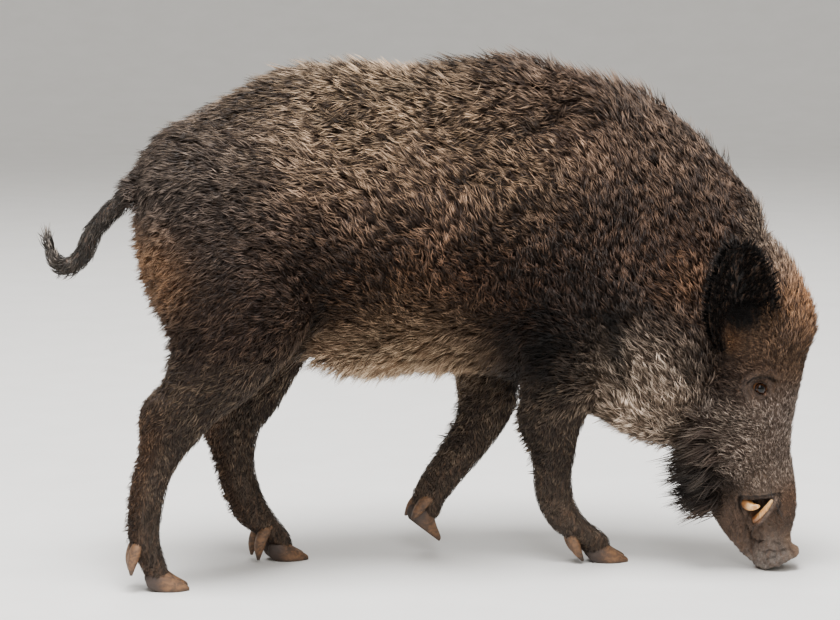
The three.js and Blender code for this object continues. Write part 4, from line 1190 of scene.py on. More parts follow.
TAIL_TONES = ("#2c2825", "#6e655c")
# Dark edge of the lids; inside the mouth the same colour is painted shade.
LID_AND_MOUTH_SHADE_TONE = "#1c110b"
# The pale line round each eye is a painted highlight on the lids.
LID_HIGHLIGHT_TONE = "#8b776a"
TEAR_TONE = "#c39a82"
GUM_TONE = "#8a5a36"
LIP_TONE = "#94877f"
COVERED_SHARE = 0.16  # how far the skin under the coat goes from its colour to the tips'
BARE_SHARE = 0.5  # the same for bare skin
EAR_TONES = ("#050404", "#0f0b09", "#4a3a2f")  # undercoat, tips and the palest tips
EAR_SHADE = (-64, 440, 50, 62)  # the black place on the head in front of an ear
# How strong the painted shade in the creases is on the trunk, the face and the snout, and how much
# weaker it is round the mouth.
BODY_CREASE_SHADE = 0.75
FACE_CREASE_SHADE = 0.95
SNOUT_CREASE_SHADE = 0.4  # of a face crease's
MOUTH_CREASE_SHADE_CUT = 0.6  # how much weaker the creases round the mouth are
STREAKS = Ripples(60, 51, (0.5, 1, 1.2))
BLOTCHES = Ripples(170, 52)


def blended(marks, places, columns):
    """Values of the marks at each place, each mark fading out at its reach."""
    total = np.full(len(places), 1e-9)
    values = np.zeros((len(places), *np.shape(columns[0])))
    shape = (-1,) + (1,) * (values.ndim - 1)
    for (x, z, reach, *_), column in zip(marks, columns):
        away = ((places[:, 0] - x) ** 2 + (places[:, 1] - z) ** 2) / reach ** 2
        weight = np.exp(-0.5 * away) + 0.002 / (1 + away)
        total += weight
        values += weight.reshape(shape) * column
    return values / total.reshape(shape)


def tones_of(marks, places):
    pairs = [np.concatenate([linear(mark[3]), linear(mark[4])]) for mark in marks]
    both = blended(marks, places, pairs)
    return both[:, :3], both[:, 3:]


def skin_tones(spots):
    """The skin's colours: under the coat, and bare on lids, gums and lips; painted shade darkens
    the creases and the mouth's hollow.
    """
    bare = bare_share(spots)
    base, tip = coat_tones(spots)
    tone = mix(base, tip, COVERED_SHARE + (BARE_SHARE - COVERED_SHARE) * bare)
    # a painted highlight along the lids' ridge
    lid_highlight = 0.35 * hill(lid_reach(spots) - 1.7, 0.2)
    lip = 0.5 * hill(path_distance(spots.head[:, :2], LIP_RIDGE), 2.4)
    places = (
        # the lids' dark rims, and painted shade in the mouth's hollow
        (LID_AND_MOUTH_SHADE_TONE, bare * lid_rim_and_mouth_shade(spots)),
        (LID_HIGHLIGHT_TONE, lid_highlight),
        (TEAR_TONE, spot_share(spots, TEAR_DUCT, 2.0)),
        (GUM_TONE, spot_share(spots, GUM, 9.0) * lid_rim_and_mouth_shade(spots)),
        (LIP_TONE, lip * (np.abs(spots.head[:, 2]) > 30)),
    )
    for colour, share in places:
        tone = mix(tone, linear(colour), share)
    return tone


def ear_shade(spots):
    """1 on the black hair in front of each ear."""
    ahead, up, side = spots.head.T
    middle_ahead, middle_up, long, high = EAR_SHADE
    reach = np.hypot((ahead - middle_ahead) / long, (up - middle_up) / high)
    return ease(1.15, 0.85, reach) * ease(52, 66, np.abs(side))


def painted_crease_shade(spots):
    """1 where the creases of the trunk and the face are darkened with painted shade."""
    plane, head = spots.points[:, [0, 2]], spots.head[:, :2]
    body, face = np.zeros((2, len(plane)))
    # painted shade in the sunken folds of the body
    for path, width, rise in BODY_FOLDS:
        if rise < 0:
            body = np.maximum(body, hill(path_distance(plane, path), width * 0.9))
    for path, width in FACE_CREASES:
        face = np.maximum(face, hill(path_distance(head, path), width))
    face *= ease(14, 26, np.abs(spots.head[:, 2]))
    face *= 1 - MOUTH_CREASE_SHADE_CUT * ease(84, 70, head[:, 1])
    for path in SNOUT_CREASES:
        crease = hill(path_distance(head, path), SNOUT_CREASE_WIDTH)
        face = np.maximum(face, SNOUT_CREASE_SHADE * crease)
    body *= BODY_CREASE_SHADE * spots.on_trunk
    return np.maximum(body, FACE_CREASE_SHADE * face * spots.on_head)


def coat_tones(spots):
    """The undercoat's and the tips' colours at each spot, with painted shade in the creases."""
    base, tip = tones_of(BODY_MARKS, spots.points[:, [0, 2]])
    head_base, head_tip = tones_of(HEAD_MARKS, spots.head[:, :2])
    base, tip = mix(base, head_base, spots.on_head), mix(tip, head_tip, spots.on_head)
    hock = spots.hind * ease(0.1, 0.8, spots.rear) * ease(330, 240, spots.points[:, 2])
    places = ((EAR_TONES, ear_shade(spots)), (LEG_TONES, spots.on_leg),
              (HOCK_TONES, spots.on_leg * hock), (TAIL_TONES, spots.on_tail))
    for tones, share in places:
        base = mix(base, linear(tones[0]), share)
        tip = mix(tip, linear(tones[1]), share)
    depth = 1 + 0.22 * STREAKS(spots.points) + 0.18 * BLOTCHES(spots.points)
    # painted shade in the creases
    depth *= 1 - painted_crease_shade(spots)
    return base * depth[:, None], tip * depth[:, None]


def tuft_tones(tufts, grizzle):
    """Colours for each tuft; some locks are paler to their tips and some stay dark."""
    base, tip = coat_tones(tufts.spots)
    pale = np.clip(0.45 + tufts.vary(0.24, 0.36) + grizzle, 0, 1)
    shade = tufts.about(0.12, 0.16, 0.4, 1.7)
    return base, mix(base * 1.1, tip * 1.45, pale ** 1.4), shade


# ---- coat's growth
# Places as (x, z), their reach, then the tufts' length and the tips' height.
BODY_GROWTH = [
    (60, 720, 80, 32, 13), (180, 765, 60, 34, 11), (300, 778, 55, 38, 23),
    (400, 770, 60, 38, 19), (520, 790, 60, 38, 21), (600, 780, 50, 38, 20),
    (670, 762, 40, 40, 26), (740, 735, 40, 42, 32), (780, 718, 32, 40, 34),
    (806, 690, 24, 34, 20), (850, 645, 40, 26, 6), (895, 590, 40, 20, 3),
    (-25, 560, 50, 26, 9), (4, 650, 30, 32, 17),
    (-25, 440, 50, 24, 9), (60, 570, 60, 23, 7), (70, 430, 80, 23, 7),
    (60, 320, 60, 22, 6), (250, 600, 90, 34, 13), (250, 480, 70, 28, 11),
    (250, 400, 60, 26, 11), (240, 330, 40, 18, 0), (370, 300, 50, 34, 17),
    (480, 600, 60, 34, 13), (480, 460, 70, 26, 11), (600, 520, 80, 26, 10),
    (600, 380, 70, 26, 9), (700, 620, 60, 30, 12), (740, 460, 80, 27, 12),
    (700, 260, 60, 32, 9), (820, 400, 60, 28, 10),
]
# The same on the head, as (ahead, up).
HEAD_GROWTH = [
    (20, 450, 50, 25, 14), (45, 380, 36, 21, 9), (34, 310, 30, 14, 3.5),
    (-70, 385, 40, 18, 6), (-110, 290, 50, 24, 10), (-130, 200, 46, 28, 12),
    (-60, 220, 30, 17, 6), (-36, 289, 27, 6, 0.8), (-10, 250, 30, 13, 4),
    (0, 200, 40, 14, 4.5), (-10, 150, 26, 11, 3.2), (10, 100, 26, 8, 1.8),
    (-40, 100, 20, 5, 1.0), (-60, 70, 24, 7, 1.6), (0, 40, 24, 4, 1.0),
]
LEG_GROWTH = {"low": (11, 2.0), "high": (21, 4.6)}
TAIL_GROWTH = (20.0, 4.0)
SHORT_FROM = 20.0  # tufts shorter than this grow more closely
CLOSER = 1.6  # by how much
EAR_CLEARING = (62, 0.55)  # how far round an ear the coat is short, and how short
# Strays in radians, lift as a share, gathering of the tips, sideways curl and pale share.
BODY_HABIT = {"stray": 0.16, "lock_stray": 0.22, "lift": 0.3, "gather": 0.46, "curl": 0.12,
              "grizzle": 0.0}
FACE_HABIT = {"stray": 0.22, "lock_stray": 0.24, "lift": 0.3, "gather": 0.35, "curl": 0.16,
              "grizzle": 0.0}
LEG_HABIT = {"stray": 0.18, "lock_stray": 0.22, "lift": 0.35, "gather": 0.5, "curl": 0.10,
             "grizzle": -0.15}


def ear_nearness(points):
    """1 on an ear's root and lower half, falling to 0 at the clearing's edge."""
    best = np.full(len(points), 1e9)
    for _, side in SIDES:
        axis = np.array([[[0.0, 0.0, share * EAR["length"]]] for share in (0.0, 0.3, 0.6)])
        for middle in turned_ear(axis, side)[:, 0]:
            best = np.minimum(best, np.linalg.norm(points - middle, axis=1))
    return ease(EAR_CLEARING[0], EAR_CLEARING[0] * 0.6, best)


def growth_of(spots):
    """Length of the tufts and height of their tips at each spot."""
    body, head = (
        blended(marks, plane, [np.array(mark[3:5], float) for mark in marks])
        for marks, plane in ((BODY_GROWTH, spots.points[:, [0, 2]]),
                             (HEAD_GROWTH, spots.head[:, :2])))
    height = ease(70, 330, spots.points[:, 2])
    leg = mix(np.array(LEG_GROWTH["low"]), np.array(LEG_GROWTH["high"]), height)
    both = mix(mix(body, head, spots.on_head), leg, spots.on_leg)
    both = mix(both, np.array(TAIL_GROWTH), spots.on_tail)
    both = both * (1 - (1 - EAR_CLEARING[1]) * ear_nearness(spots.points))[:, None]
    return both[:, 0], both[:, 1]


def lid_reach(spots):
    """How far each spot is from an eye's middle; 1 is the edge of its opening."""
    reach = np.full(len(spots.head), 9.0)
    for _, side in SIDES:
        _, _, height, found = eye_reach(spots.head, side)
        reach = np.where(height > EYE_REGION[1], np.minimum(reach, found), reach)
    return reach


def lid_rim_and_mouth_shade(spots):
    """1 on the dark edges of the lids, and inside the mouth, where the dark is painted shade in its
    hollow.
    """
    plane, side = spots.head[:, :2], np.abs(spots.head[:, 2])
    mouth = ease(-4, 0, inside_shape(plane, MOUTH_OPENING)) * (side > 14)
    return np.maximum(ease(1.4, 1.15, lid_reach(spots)), mouth)


def spot_share(spots, place, width):
    """1 at a place on both sides of the head's plane."""
    away = np.hypot(spots.head[:, 0] - place[0], spots.head[:, 1] - place[1])
    return hill(away, width) * (np.abs(spots.head[:, 2]) > 20)


def bare_share(spots):
    """1 where the skin is bare: the snout's disc, the lips' edge and the eye's lids."""
    ahead, up, side = spots.head.T
    plane = spots.head[:, :2]
    disc = ease(44, 34, up + 0.12 * ahead)
    lids = ease(29, 20, np.hypot(ahead - EYE["ahead"], up - EYE["up"])) * (np.abs(side) > 40)
    lip = ease(4, 2, path_distance(plane, MOUTH)) * ease(14, 24, np.abs(side))
    opening = ease(-6, -3, inside_shape(plane, MOUTH_OPENING)) * (np.abs(side) > 14)
    return np.maximum.reduce([disc, lids, lip, opening]) * spots.on_head


# ---- coat pieces
COAT_STATIONS = (("rump", 0, 2.7), ("loin", 2.7, 4.4), ("ribs", 4.4, 6.1),
                 ("shoulder", 6.1, 7.9), ("neck", 7.9, 10.6), ("nape", 10.6, 15))


def region_names(spots):
    """The coat piece that each spot belongs to."""
    names = np.full(len(spots.at), "", dtype="U24")
    for name, low, high in COAT_STATIONS:
        names[(spots.at >= low) & (spots.at < high)] = name
    names[spots.on_head > 0.5] = "head"
    names[spots.on_leg > 0.5] = "legs"
    names[spots.on_tail > 0.5] = "tail"
    sides = np.where(spots.side > 0, "_left", "_right")
    return np.char.add(names, sides)


def coat_pieces(tufts, prefix, full, habit, material, slot):
    """Makes one piece of tufts for each region of the coat."""
    names = region_names(tufts.spots)
    tones = tuft_tones(tufts, habit["grizzle"])
    for name in sorted(set(names)):
        piece = tuft_object(f"{prefix}_{name}", tufts, names == name, full, tones)
        finish(piece, material, slot)


# Long hair that stands off the coat. Tufts on a square centimetre, length, width, then how
# far it goes along the coat's lie, outwards, down and backwards, its spread and its share
# of paler locks.
FRINGES = {
    "mane": (3.0, 40, 1.7, 1.0, 0.24, -0.1, 0.0, 0.14, 0.1),
    "nape": (5.0, 30, 1.5, 0.8, 0.45, -0.2, 0.1, 0.16, 0.0),
    "rump": (6.0, 27, 1.6, 0.5, 0.12, 0.15, 0.9, 0.18, 0.0),
    "buttock": (8.0, 21, 1.4, 0.3, 0.4, 0.35, 0.7, 0.24, 0.3),
    "belly": (7.0, 36, 1.6, 0.5, 0.15, 0.5, 0.35, 0.24, 0.35),
    "throat": (5.0, 24, 1.6, 0.7, 0.2, 0.35, 0.2, 0.2, 0.25),
    "beard": (13.0, 54, 1.6, 0.2, 0.12, 0.34, 1.0, 0.34, -0.4),
    "forehead": (7.0, 18, 1.3, 0.8, 0.5, 0.0, 0.0, 0.2, 0.1),
    "elbow": (6.0, 15, 1.5, 0.2, 0.4, 0.5, 0.7, 0.24, -0.1),
    "hock": (8.0, 11, 1.4, 0.3, 0.4, 0.6, 0.6, 0.24, 0.0),
    "tail_end": (14.0, 34, 1.6, 1.0, 0.14, 0.0, 0.0, 0.16, 0.0),
}
FRINGE_SEED = 50
FRINGE_LOCK = 6
FRINGE_GATHER = 0.5


def fringe_places(spots):
    """How much of each fringe grows at each spot, from 0 to 1."""
    ahead, up, _ = spots.head.T
    x, _, z = spots.points.T
    fall, at = spots.fall, spots.at
    under_jaw = ease(-74, -100, ahead) * ease(262, 220, up) * ease(82, 106, up)
    return {
        "mane": spots.on_trunk * ease(0.12, 0.03, fall) * ease(3.0, 5.0, at) * ease(13.6, 12.4, at),
        "nape": spots.on_trunk * ease(0.14, 0.04, fall) * ease(8.6, 9.6, at) * ease(12.6, 11.8, at),
        "rump": spots.on_trunk * ease(0.2, 0.06, fall) * ease(2.0, 1.0, at),
        "buttock": spots.on_trunk * ease(36, 0, x) * ease(580, 550, z) * ease(290, 330, z),
        "belly": spots.on_trunk * ease(0.88, 0.97, fall) * ease(4.2, 5.0, at) * ease(7.2, 6.4, at),
        "throat": spots.on_trunk * ease(0.86, 0.96, fall) * ease(8.6, 9.6, at),
        "beard": spots.on_head * under_jaw,
        "forehead": spots.on_head * ease(330, 380, up) * ease(10, 30, ahead + 0.12 * (up - 400)),
        "elbow": spots.on_leg * (1 - spots.hind) * ease(0.2, 0.7, spots.rear) * ease(130, 220, z),
        "hock": spots.on_leg * spots.hind * ease(0.4, 0.8, spots.rear) * ease(330, 260, z)
        * ease(60, 110, z),
        "tail_end": ease(-140, -152, x) * ease(490, 505, z),
    }


# ---- materials
def coat_finish(name, roughness, gloss=0.2):
    """Dark undercoat to paler tips, each tuft a little different, and each darkened towards its
    root with painted shade.
    """
    made = Finish(name)
    share = made.attribute("share")
    base, tip = made.attribute("base_tone", 0), made.attribute("tip_tone", 0)
    colour = made.blend(share.stretch(0.45, 0.85), base, tip)
    # each tuft's own tone, times painted shade that darkens it to 0.4 at its root
    shade = made.attribute("shade") * (share.stretch(0.05, 0.6) * 0.6 + 0.4)
    tuft_tone_and_root_shade = made.node("ShaderNodeCombineColor", {}, {"Red": shade, "Green": shade, "Blue": shade})
    colour = made.blend(1.0, colour, tuft_tone_and_root_shade, "MULTIPLY")
    return made.shade(Base_Color=colour, Roughness=roughness, Specular_IOR_Level=gloss)


# The skin's darker tones; the crease tone is painted shade for the creases.
SKIN_SHADES = {"mottle": "#4a3b33", "crack": "#2a211c", "grain": "#1a1310", "crease": "#100b08"}


def skin_finish(colours):
    """The skin under the coat, and the bare skin of snout, lips and lids, with painted shade in its
    creases.
    """
    made = Finish("skin")
    colour, bare = made.attribute("tone", 0), made.attribute("bare")
    grain = made.noise(420, 4, 0.65)
    clouds = made.noise(60, 4, 0.6)
    settings = {"feature": "DISTANCE_TO_EDGE"}
    where = {"Vector": made.place(), "Scale": 330, "Randomness": 0.9}
    pebbles = made.node("ShaderNodeTexVoronoi", settings, where)
    patches = clouds.stretch(0.35, 0.65) * bare * 0.55
    mottled = made.blend(patches, colour, SKIN_SHADES["mottle"])
    cracks = pebbles.stretch(0.10, 0.0) * bare
    lined = made.blend(cracks * 0.6, mottled, SKIN_SHADES["crack"])
    streaks = made.noise(190, 3, 0.55, (1, 1, 0.22))
    velvet = made.blend(streaks.stretch(0.4, 0.75) * 0.35, lined, colours.snout)
    dark = made.blend(grain.stretch(0.35, 0.7) * 0.3, velvet, SKIN_SHADES["grain"])
    # painted shade in the creases
    dark = made.blend(made.attribute("crease") * 0.8, dark, SKIN_SHADES["crease"])
    height = grain * 0.6 + pebbles.stretch(0.0, 0.14) * bare * 0.8
    bump = made.bump(height, 0.8, 0.002)
    rough = 0.75 - bare * 0.15
    return made.shade(Base_Color=dark, Roughness=rough, Normal=bump, Specular_IOR_Level=0.3)


EYE_SHADES = {"fibre": "#1c0d05", "pupil": "#010203", "rim": "#0a0503", "white": "#6b4830"}


def eye_finish(colours):
    """Wet amber iris round a dark pupil, dark at its rim."""
    made = Finish("eye")
    turn = made.attribute("gaze")
    fibres = made.noise(1300, 2, 0.5)
    iris = made.blend(fibres.stretch(0.3, 0.7), EYE_SHADES["fibre"], colours.iris)
    inner = made.blend(turn.stretch(0.38, 0.46), EYE_SHADES["pupil"], iris)
    rim = made.blend(turn.stretch(0.58, 0.66), inner, EYE_SHADES["rim"])
    white = made.blend(turn.stretch(0.74, 0.9), rim, EYE_SHADES["white"])
    return made.shade(Base_Color=white, Roughness=0.08, Specular_IOR_Level=0.22,
                      Coat_Weight=0.12, Coat_Roughness=0.03)


IVORY_CLOUD = "#b97a38"


def tusk_finish(colours):
    """Ivory with clouds along it, stained towards the root."""
    made = Finish("tusk")
    along = made.attribute("along")
    cloud = made.noise(160, 4, 0.6, (1, 1, 0.35))
    ivory = made.blend(cloud.stretch(0.35, 0.65), IVORY_CLOUD, colours.ivory)
    stained = made.blend(along.stretch(0.75, 0.4) * 0.85, ivory, colours.stain)
    rough = 0.28 + cloud * 0.2
    bump = made.bump(cloud, 0.25, 0.0006)
    return made.shade(Base_Color=stained, Roughness=rough, Normal=bump, Coat_Weight=0.3)


HORN_SHADES = {"band": "#4a3628", "heel": "#3d3029", "top": "#33291f", "dirt": "#2e2520"}


def claw_finish(colours):
    """Mottled horn, leathery and dark at the heel, pale on the wall and dark where it wears."""
    made = Finish("claw")
    toe, height = made.attribute("toe"), made.attribute("along")
    rings = made.node("ShaderNodeTexWave", {"bands_direction": "Z"},
                      {"Vector": made.place(), "Scale": 40, "Distortion": 9, "Detail": 4,
                       "Detail Scale": 2.0}, 1)
    dirt = made.noise(70, 6, 0.7)
    specks = made.noise(420, 3, 0.6)
    horn = made.blend(rings * 0.5 + specks * 0.3, colours.horn,
                      HORN_SHADES["band"])
    heel = made.blend(toe.stretch(0.55, 0.15), horn, HORN_SHADES["heel"])
    top = made.blend(height.stretch(0.72, 1.0) * 0.8, heel, HORN_SHADES["top"])
    dirty = made.blend(dirt.stretch(0.42, 0.66) * 0.75, top, HORN_SHADES["dirt"])
    bump = made.bump(rings * 0.25 + dirt * 0.9 + specks * 0.3, 0.5, 0.0012)
    return made.shade(Base_Color=dirty, Roughness=0.5 + dirt * 0.25, Normal=bump)


FLOOR_GRAIN = "#d8d6d2"
HAIR_ROOT = "#0d0907"


def hair_finish(colours):
    """A dark hair, a little paler to its tip."""
    made = Finish("whisker")
    tone = made.blend(made.attribute("share"), HAIR_ROOT, colours.whisker)
    return made.shade(Base_Color=tone, Roughness=0.5)


def floor_finish(colours):
    made = Finish("floor")
    grain = made.noise(9, 3, 0.5)
    colour = made.blend(grain, FLOOR_GRAIN, colours.floor)
    return made.shade(Base_Color=colour, Roughness=0.85)


# ---- hard features
def eyeball(side, sides=40, levels=28):
    """A ball whose cornea stands out along its gaze, and each point's turn from that."""
    out, along, _ = eye_axes(side)
    over = np.cross(out, along)
    turn = np.linspace(0, math.pi, levels)[1:-1]
    radius = EYE["radius"] + EYE["cornea"] * ease(0.62, 0.30, turn)
    round_it = np.linspace(0, 2 * math.pi, sides, endpoint=False)
    ring = np.cos(round_it)[:, None] * along + np.sin(round_it)[:, None] * over
    rings = eye_centre(side) + (radius * np.cos(turn))[:, None, None] * out
    rings = rings + (radius * np.sin(turn))[:, None, None] * ring
    points, faces = loft(head_place(rings.reshape(-1, 3)).reshape(rings.shape))
    gaze = np.concatenate([np.repeat(turn, sides), [turn[0], turn[-1]]])
    return points, faces, gaze


def tusk_rings(path, radius, side, steps=8, sides=20):
    rows = smooth_rows(path, steps)
    share = np.linspace(0, 1, len(rows))
    places = head_place(rows * np.array([1, 1, side]))
    return rod_rings(places, radius * (1 - 0.82 * share ** 2.4), sides, 0.86)


def claw_rings(side, sides=36, steps=6):
    """One hoof claw about its foot's middle, flat below and pointed ahead."""
    rows = smooth_rows(CLAW, steps)
    turn = np.linspace(0, 2 * math.pi, sides, endpoint=False)
    ahead = np.cos(turn)
    rings = np.zeros((len(rows), sides, 3))
    for i, (height, heel, toe, wide) in enumerate(rows):
        point = 1 - np.where(ahead > 0, 0.5, 0.2) * ahead * ahead
        across = np.sin(turn) * CLAW_WIDTH / 2 * wide * point
        rings[i, :, 0] = (heel + toe) / 2 + ahead * (toe - heel) / 2
        rings[i, :, 1] = side * ((CLAW_SPLIT + CLAW_WIDTH * wide) / 2 + across)
        rings[i, :, 2] = height
    return rings


def dewclaw_rings(side, root, lean, steps=6, sides=18):
    """One dewclaw from its root behind the foot, leaning forwards."""
    x, z, y, radius = smooth_rows(DEWCLAW, steps).T
    cosine, sine = math.cos(math.radians(lean)), math.sin(math.radians(lean))
    ahead, up = root[0] + x * cosine - z * sine, root[1] + x * sine + z * cosine
    places = np.stack([ahead, side * y, up], axis=1)
    return rod_rings(places, np.maximum(radius, 1.5), sides, 1.15)


def place_foot(points, foot):
    """Foot places turned, pitched and lifted to where the foot stands."""
    x, y, lift, pitch, heading = foot[:5]
    turns = rotation(2, heading) @ rotation(1, pitch)
    return np.asarray(points) @ turns.T + np.array([x, y, lift])


def along_levels(rings, reverse=False):
    """0 to 1 along the levels of a loft, for each of its points."""
    count, sides, _ = rings.shape
    share = np.linspace(0, 1, count)
    if reverse:
        share = share[::-1]
    return np.concatenate([np.repeat(share, sides), share[[0, -1]]])


def ear_rings(side, sides=48, levels=30):
    """A cupped ear as a thin closed shell, narrow at its root and pointed."""
    share = np.linspace(0, 1, levels)
    half = EAR["half"] * np.sin(math.pi * (0.2 + 0.72 * share)) ** 0.7
    depth = EAR["depth"] * (1 - 0.6 * share)
    wall = EAR["wall"] * (1 - 0.5 * share)
    turn = np.linspace(0, 2 * math.pi, sides, endpoint=False)
    across = np.cos(turn)
    rings = np.zeros((levels, sides, 3))
    rings[..., 0] = depth[:, None] * (across ** 2 - 0.5) + wall[:, None] * np.sin(turn)
    rings[..., 1] = half[:, None] * across
    rings[..., 2] = (EAR["length"] * share - 12)[:, None]
    return turned_ear(rings, side)


def rotation(axis, degrees):
    turn = math.radians(degrees)
    cosine, sine = math.cos(turn), math.sin(turn)
    a, b = [i for i in range(3) if i != axis]
    made = np.eye(3)
    made[a, a] = made[b, b] = cosine
    made[a, b], made[b, a] = -sine, sine
    return made if axis != 1 else made.T


def turned_ear(rings, side):
    turns = (rotation(2, math.degrees(HEAD_TURN)) @ rotation(1, -EAR_LEAN["back"])
             @ rotation(0, -side * EAR_LEAN["out"]) @ rotation(2, side * EAR_LEAN["twist"]))
    root = head_place([EAR["ahead"], EAR["up"], side * EAR["side"]])
    return rings @ turns.T + root


# ---- add-on parts
class BoarCoat(bpy.types.PropertyGroup):
    density: bpy.props.FloatProperty(
        name="Density", description="Tufts on a square centimetre of the body",
        default=11.6, min=0.1, max=30)
    face_density: bpy.props.FloatProperty(
        name="Face density", description="Tufts on a square centimetre of the head",
        default=21, min=0.1, max=80)
    leg_density: bpy.props.FloatProperty(
        name="Leg density", description="Short tufts on a square centimetre of the legs",
        default=9, min=0.1, max=80)
    tuft_width: bpy.props.FloatProperty(
        name="Tuft width", description="Width of a body tuft", default=0.00168,
        min=0.0005, max=0.02, subtype="DISTANCE", unit="LENGTH")
    whisker_radius: bpy.props.FloatProperty(
        name="Whisker radius", description="Radius of a whisker at its root", default=0.0004,
        min=0.0001, max=0.005, precision=5, subtype="DISTANCE", unit="LENGTH")
    seed: bpy.props.IntProperty(name="Seed", description="Seed of the coat", default=11)


def colour(name, description, code):
    """A colour to choose, which starts as a web code's."""
    return bpy.props.FloatVectorProperty(name=name, description=description, min=0, max=1,
                                         default=linear(code).tolist(), subtype="COLOR")


class BoarColours(bpy.types.PropertyGroup):
    snout: colour("Snout", "Warm brown over the bare skin of snout and lips", "#7d5c44")
    iris: colour("Iris", "Palest brown of the eyes", "#3e2210")
    ivory: colour("Ivory", "Palest part of the tusks", "#e9bd80")
    stain: colour("Stain", "The tusks where they leave the gums", "#6b3a1a")
    horn: colour("Horn", "Palest part of the claws", "#7f5b3c")
    whisker: colour("Whisker", "Tips of lashes and whiskers", "#3f322a")
    floor: colour("Floor", "Palest part of the floor", "#e2e0dd")


class BoarView(bpy.types.PropertyGroup):
    azimuth: bpy.props.FloatProperty(
        name="Azimuth", description="Turn of the camera round the boar",
        default=math.radians(-13), subtype="ANGLE", unit="ROTATION")
    elevation: bpy.props.FloatProperty(
        name="Elevation", description="Rise of the camera over the horizon",
        default=math.radians(8), subtype="ANGLE", unit="ROTATION")
    distance: bpy.props.FloatProperty(
        name="Distance", description="From the camera to the boar's middle", default=5.0,
        min=1, max=30, subtype="DISTANCE", unit="LENGTH")
    lens: bpy.props.FloatProperty(
        name="Lens", description="Focal length on a 36 mm frame", default=141.69, min=20,
        max=400, unit="CAMERA")


DEWCLAW_TOE = 0.6  # a dewclaw's share of the way from a hoof's heel to its toe
FLESH_NODES = ["torso_rear", "torso_middle", "torso_front", "neck", "head", "snout",
               "lower_jaw", "tail_root", "tail_tip"]
FLESH_NODES += [f"leg_{name}_{part}" for name in LEGS for part in ("upper", "lower")]


class BOAR_OT_skin(bpy.types.Operator):
    """One skin over trunk, head, legs and tail"""
    bl_idname = "boar.skin"
    bl_label = "Skin"

    def execute(self, context):
        skin = fused_skin()
        refine_faces(skin.data, on_face)
        refine_faces(skin.data, on_fine_face)
        triangulate(skin.data)
        sculpt(skin.data)
        unwrap(skin, "skin_map")
        skin.data.shade_smooth()
        spots = Spots(to_walk(coordinates(skin.data)))
        write_tones(skin.data, "tone", skin_tones(spots))
        write_values(skin.data, "bare", bare_share(spots))
        # how much painted shade falls in the creases at each point
        write_values(skin.data, "crease", painted_crease_shade(spots))
        material = skin_finish(context.scene.boar_colours)
        finish(skin, material, "coat", *FLESH_NODES)
        return {"FINISHED"}


class BOAR_OT_eyes(bpy.types.Operator):
    """Two wet eyes between the lids"""
    bl_idname = "boar.eyes"
    bl_label = "Eyes"

    def execute(self, context):
        material = eye_finish(context.scene.boar_colours)
        for name, side in SIDES:
            points, faces, gaze = eyeball(side)
            piece = solid_object(f"eyeball_{name}", points, faces)
            write_values(piece.data, "gaze", gaze)
            finish(piece, material, "eye", f"eye_{name}")
        return {"FINISHED"}


class BOAR_OT_tusks(bpy.types.Operator):
    """Four curved canines"""
    bl_idname = "boar.tusks"
    bl_label = "Tusks"

    def execute(self, context):
        material = tusk_finish(context.scene.boar_colours)
        for node, (path, radius) in TUSKS.items():
            for name, side in SIDES:
                rings = tusk_rings(path, radius, side)
                piece = solid_object(f"canine_{node}_{name}", *loft(rings))
                write_values(piece.data, "along", along_levels(rings))
                finish(piece, material, "ivory", f"{node}_{name}")
        return {"FINISHED"}


class BOAR_OT_claws(bpy.types.Operator):
    """Two hoof claws and two dewclaws on each foot"""
    bl_idname = "boar.claws"
    bl_label = "Claws"

    def execute(self, context):
        material = claw_finish(context.scene.boar_colours)
        for foot, place in FEET.items():
            for name, side in SIDES:
                self.claw(material, f"hoof_{foot}_{name}", claw_rings(side), place, True)
                rings = dewclaw_rings(side, *place[5:])
                self.claw(material, f"dewclaw_{foot}_{name}", rings, place, False)
        return {"FINISHED"}

    def claw(self, material, node, rings, place, hoof):
        """One claw; a hoof darkens from its toe to its heel."""
        points, faces = loft(rings)
        piece = solid_object(f"horn_{node}", place_foot(points, place), faces)
        ahead = points[:, 0]
        toe = np.full(len(points), DEWCLAW_TOE)
        if hoof:
            toe = (ahead - ahead.min()) / (ahead.max() - ahead.min())
        write_values(piece.data, "toe", toe)
        write_values(piece.data, "along", along_levels(rings, hoof))
        finish(piece, material, "horn", node)


EAR_HAIR = {"length": 17, "lifted": 0.5, "width": 1.6, "spread": 0.26, "gather": 0.3}
EAR_HAIR_DENSITY = 13
EAR_HAIR_LOCK = 4
EAR_HAIR_OUT = 0.25
EAR_SEED = 70


def ear_lie(side):
    """The direction of an ear's hair: to its tip, and outwards past its edges."""
    root, tip = turned_ear(np.array([[[0.0, 0.0, 0.0]], [[0.0, 0.0, 1.0]]]), side)[:, 0]

    def lie(spots, outwards):
        middle = root + np.outer((spots.points - root) @ (tip - root), tip - root)
        return unit((tip - root) + 0.6 * unit(spots.points - middle))

    return lie


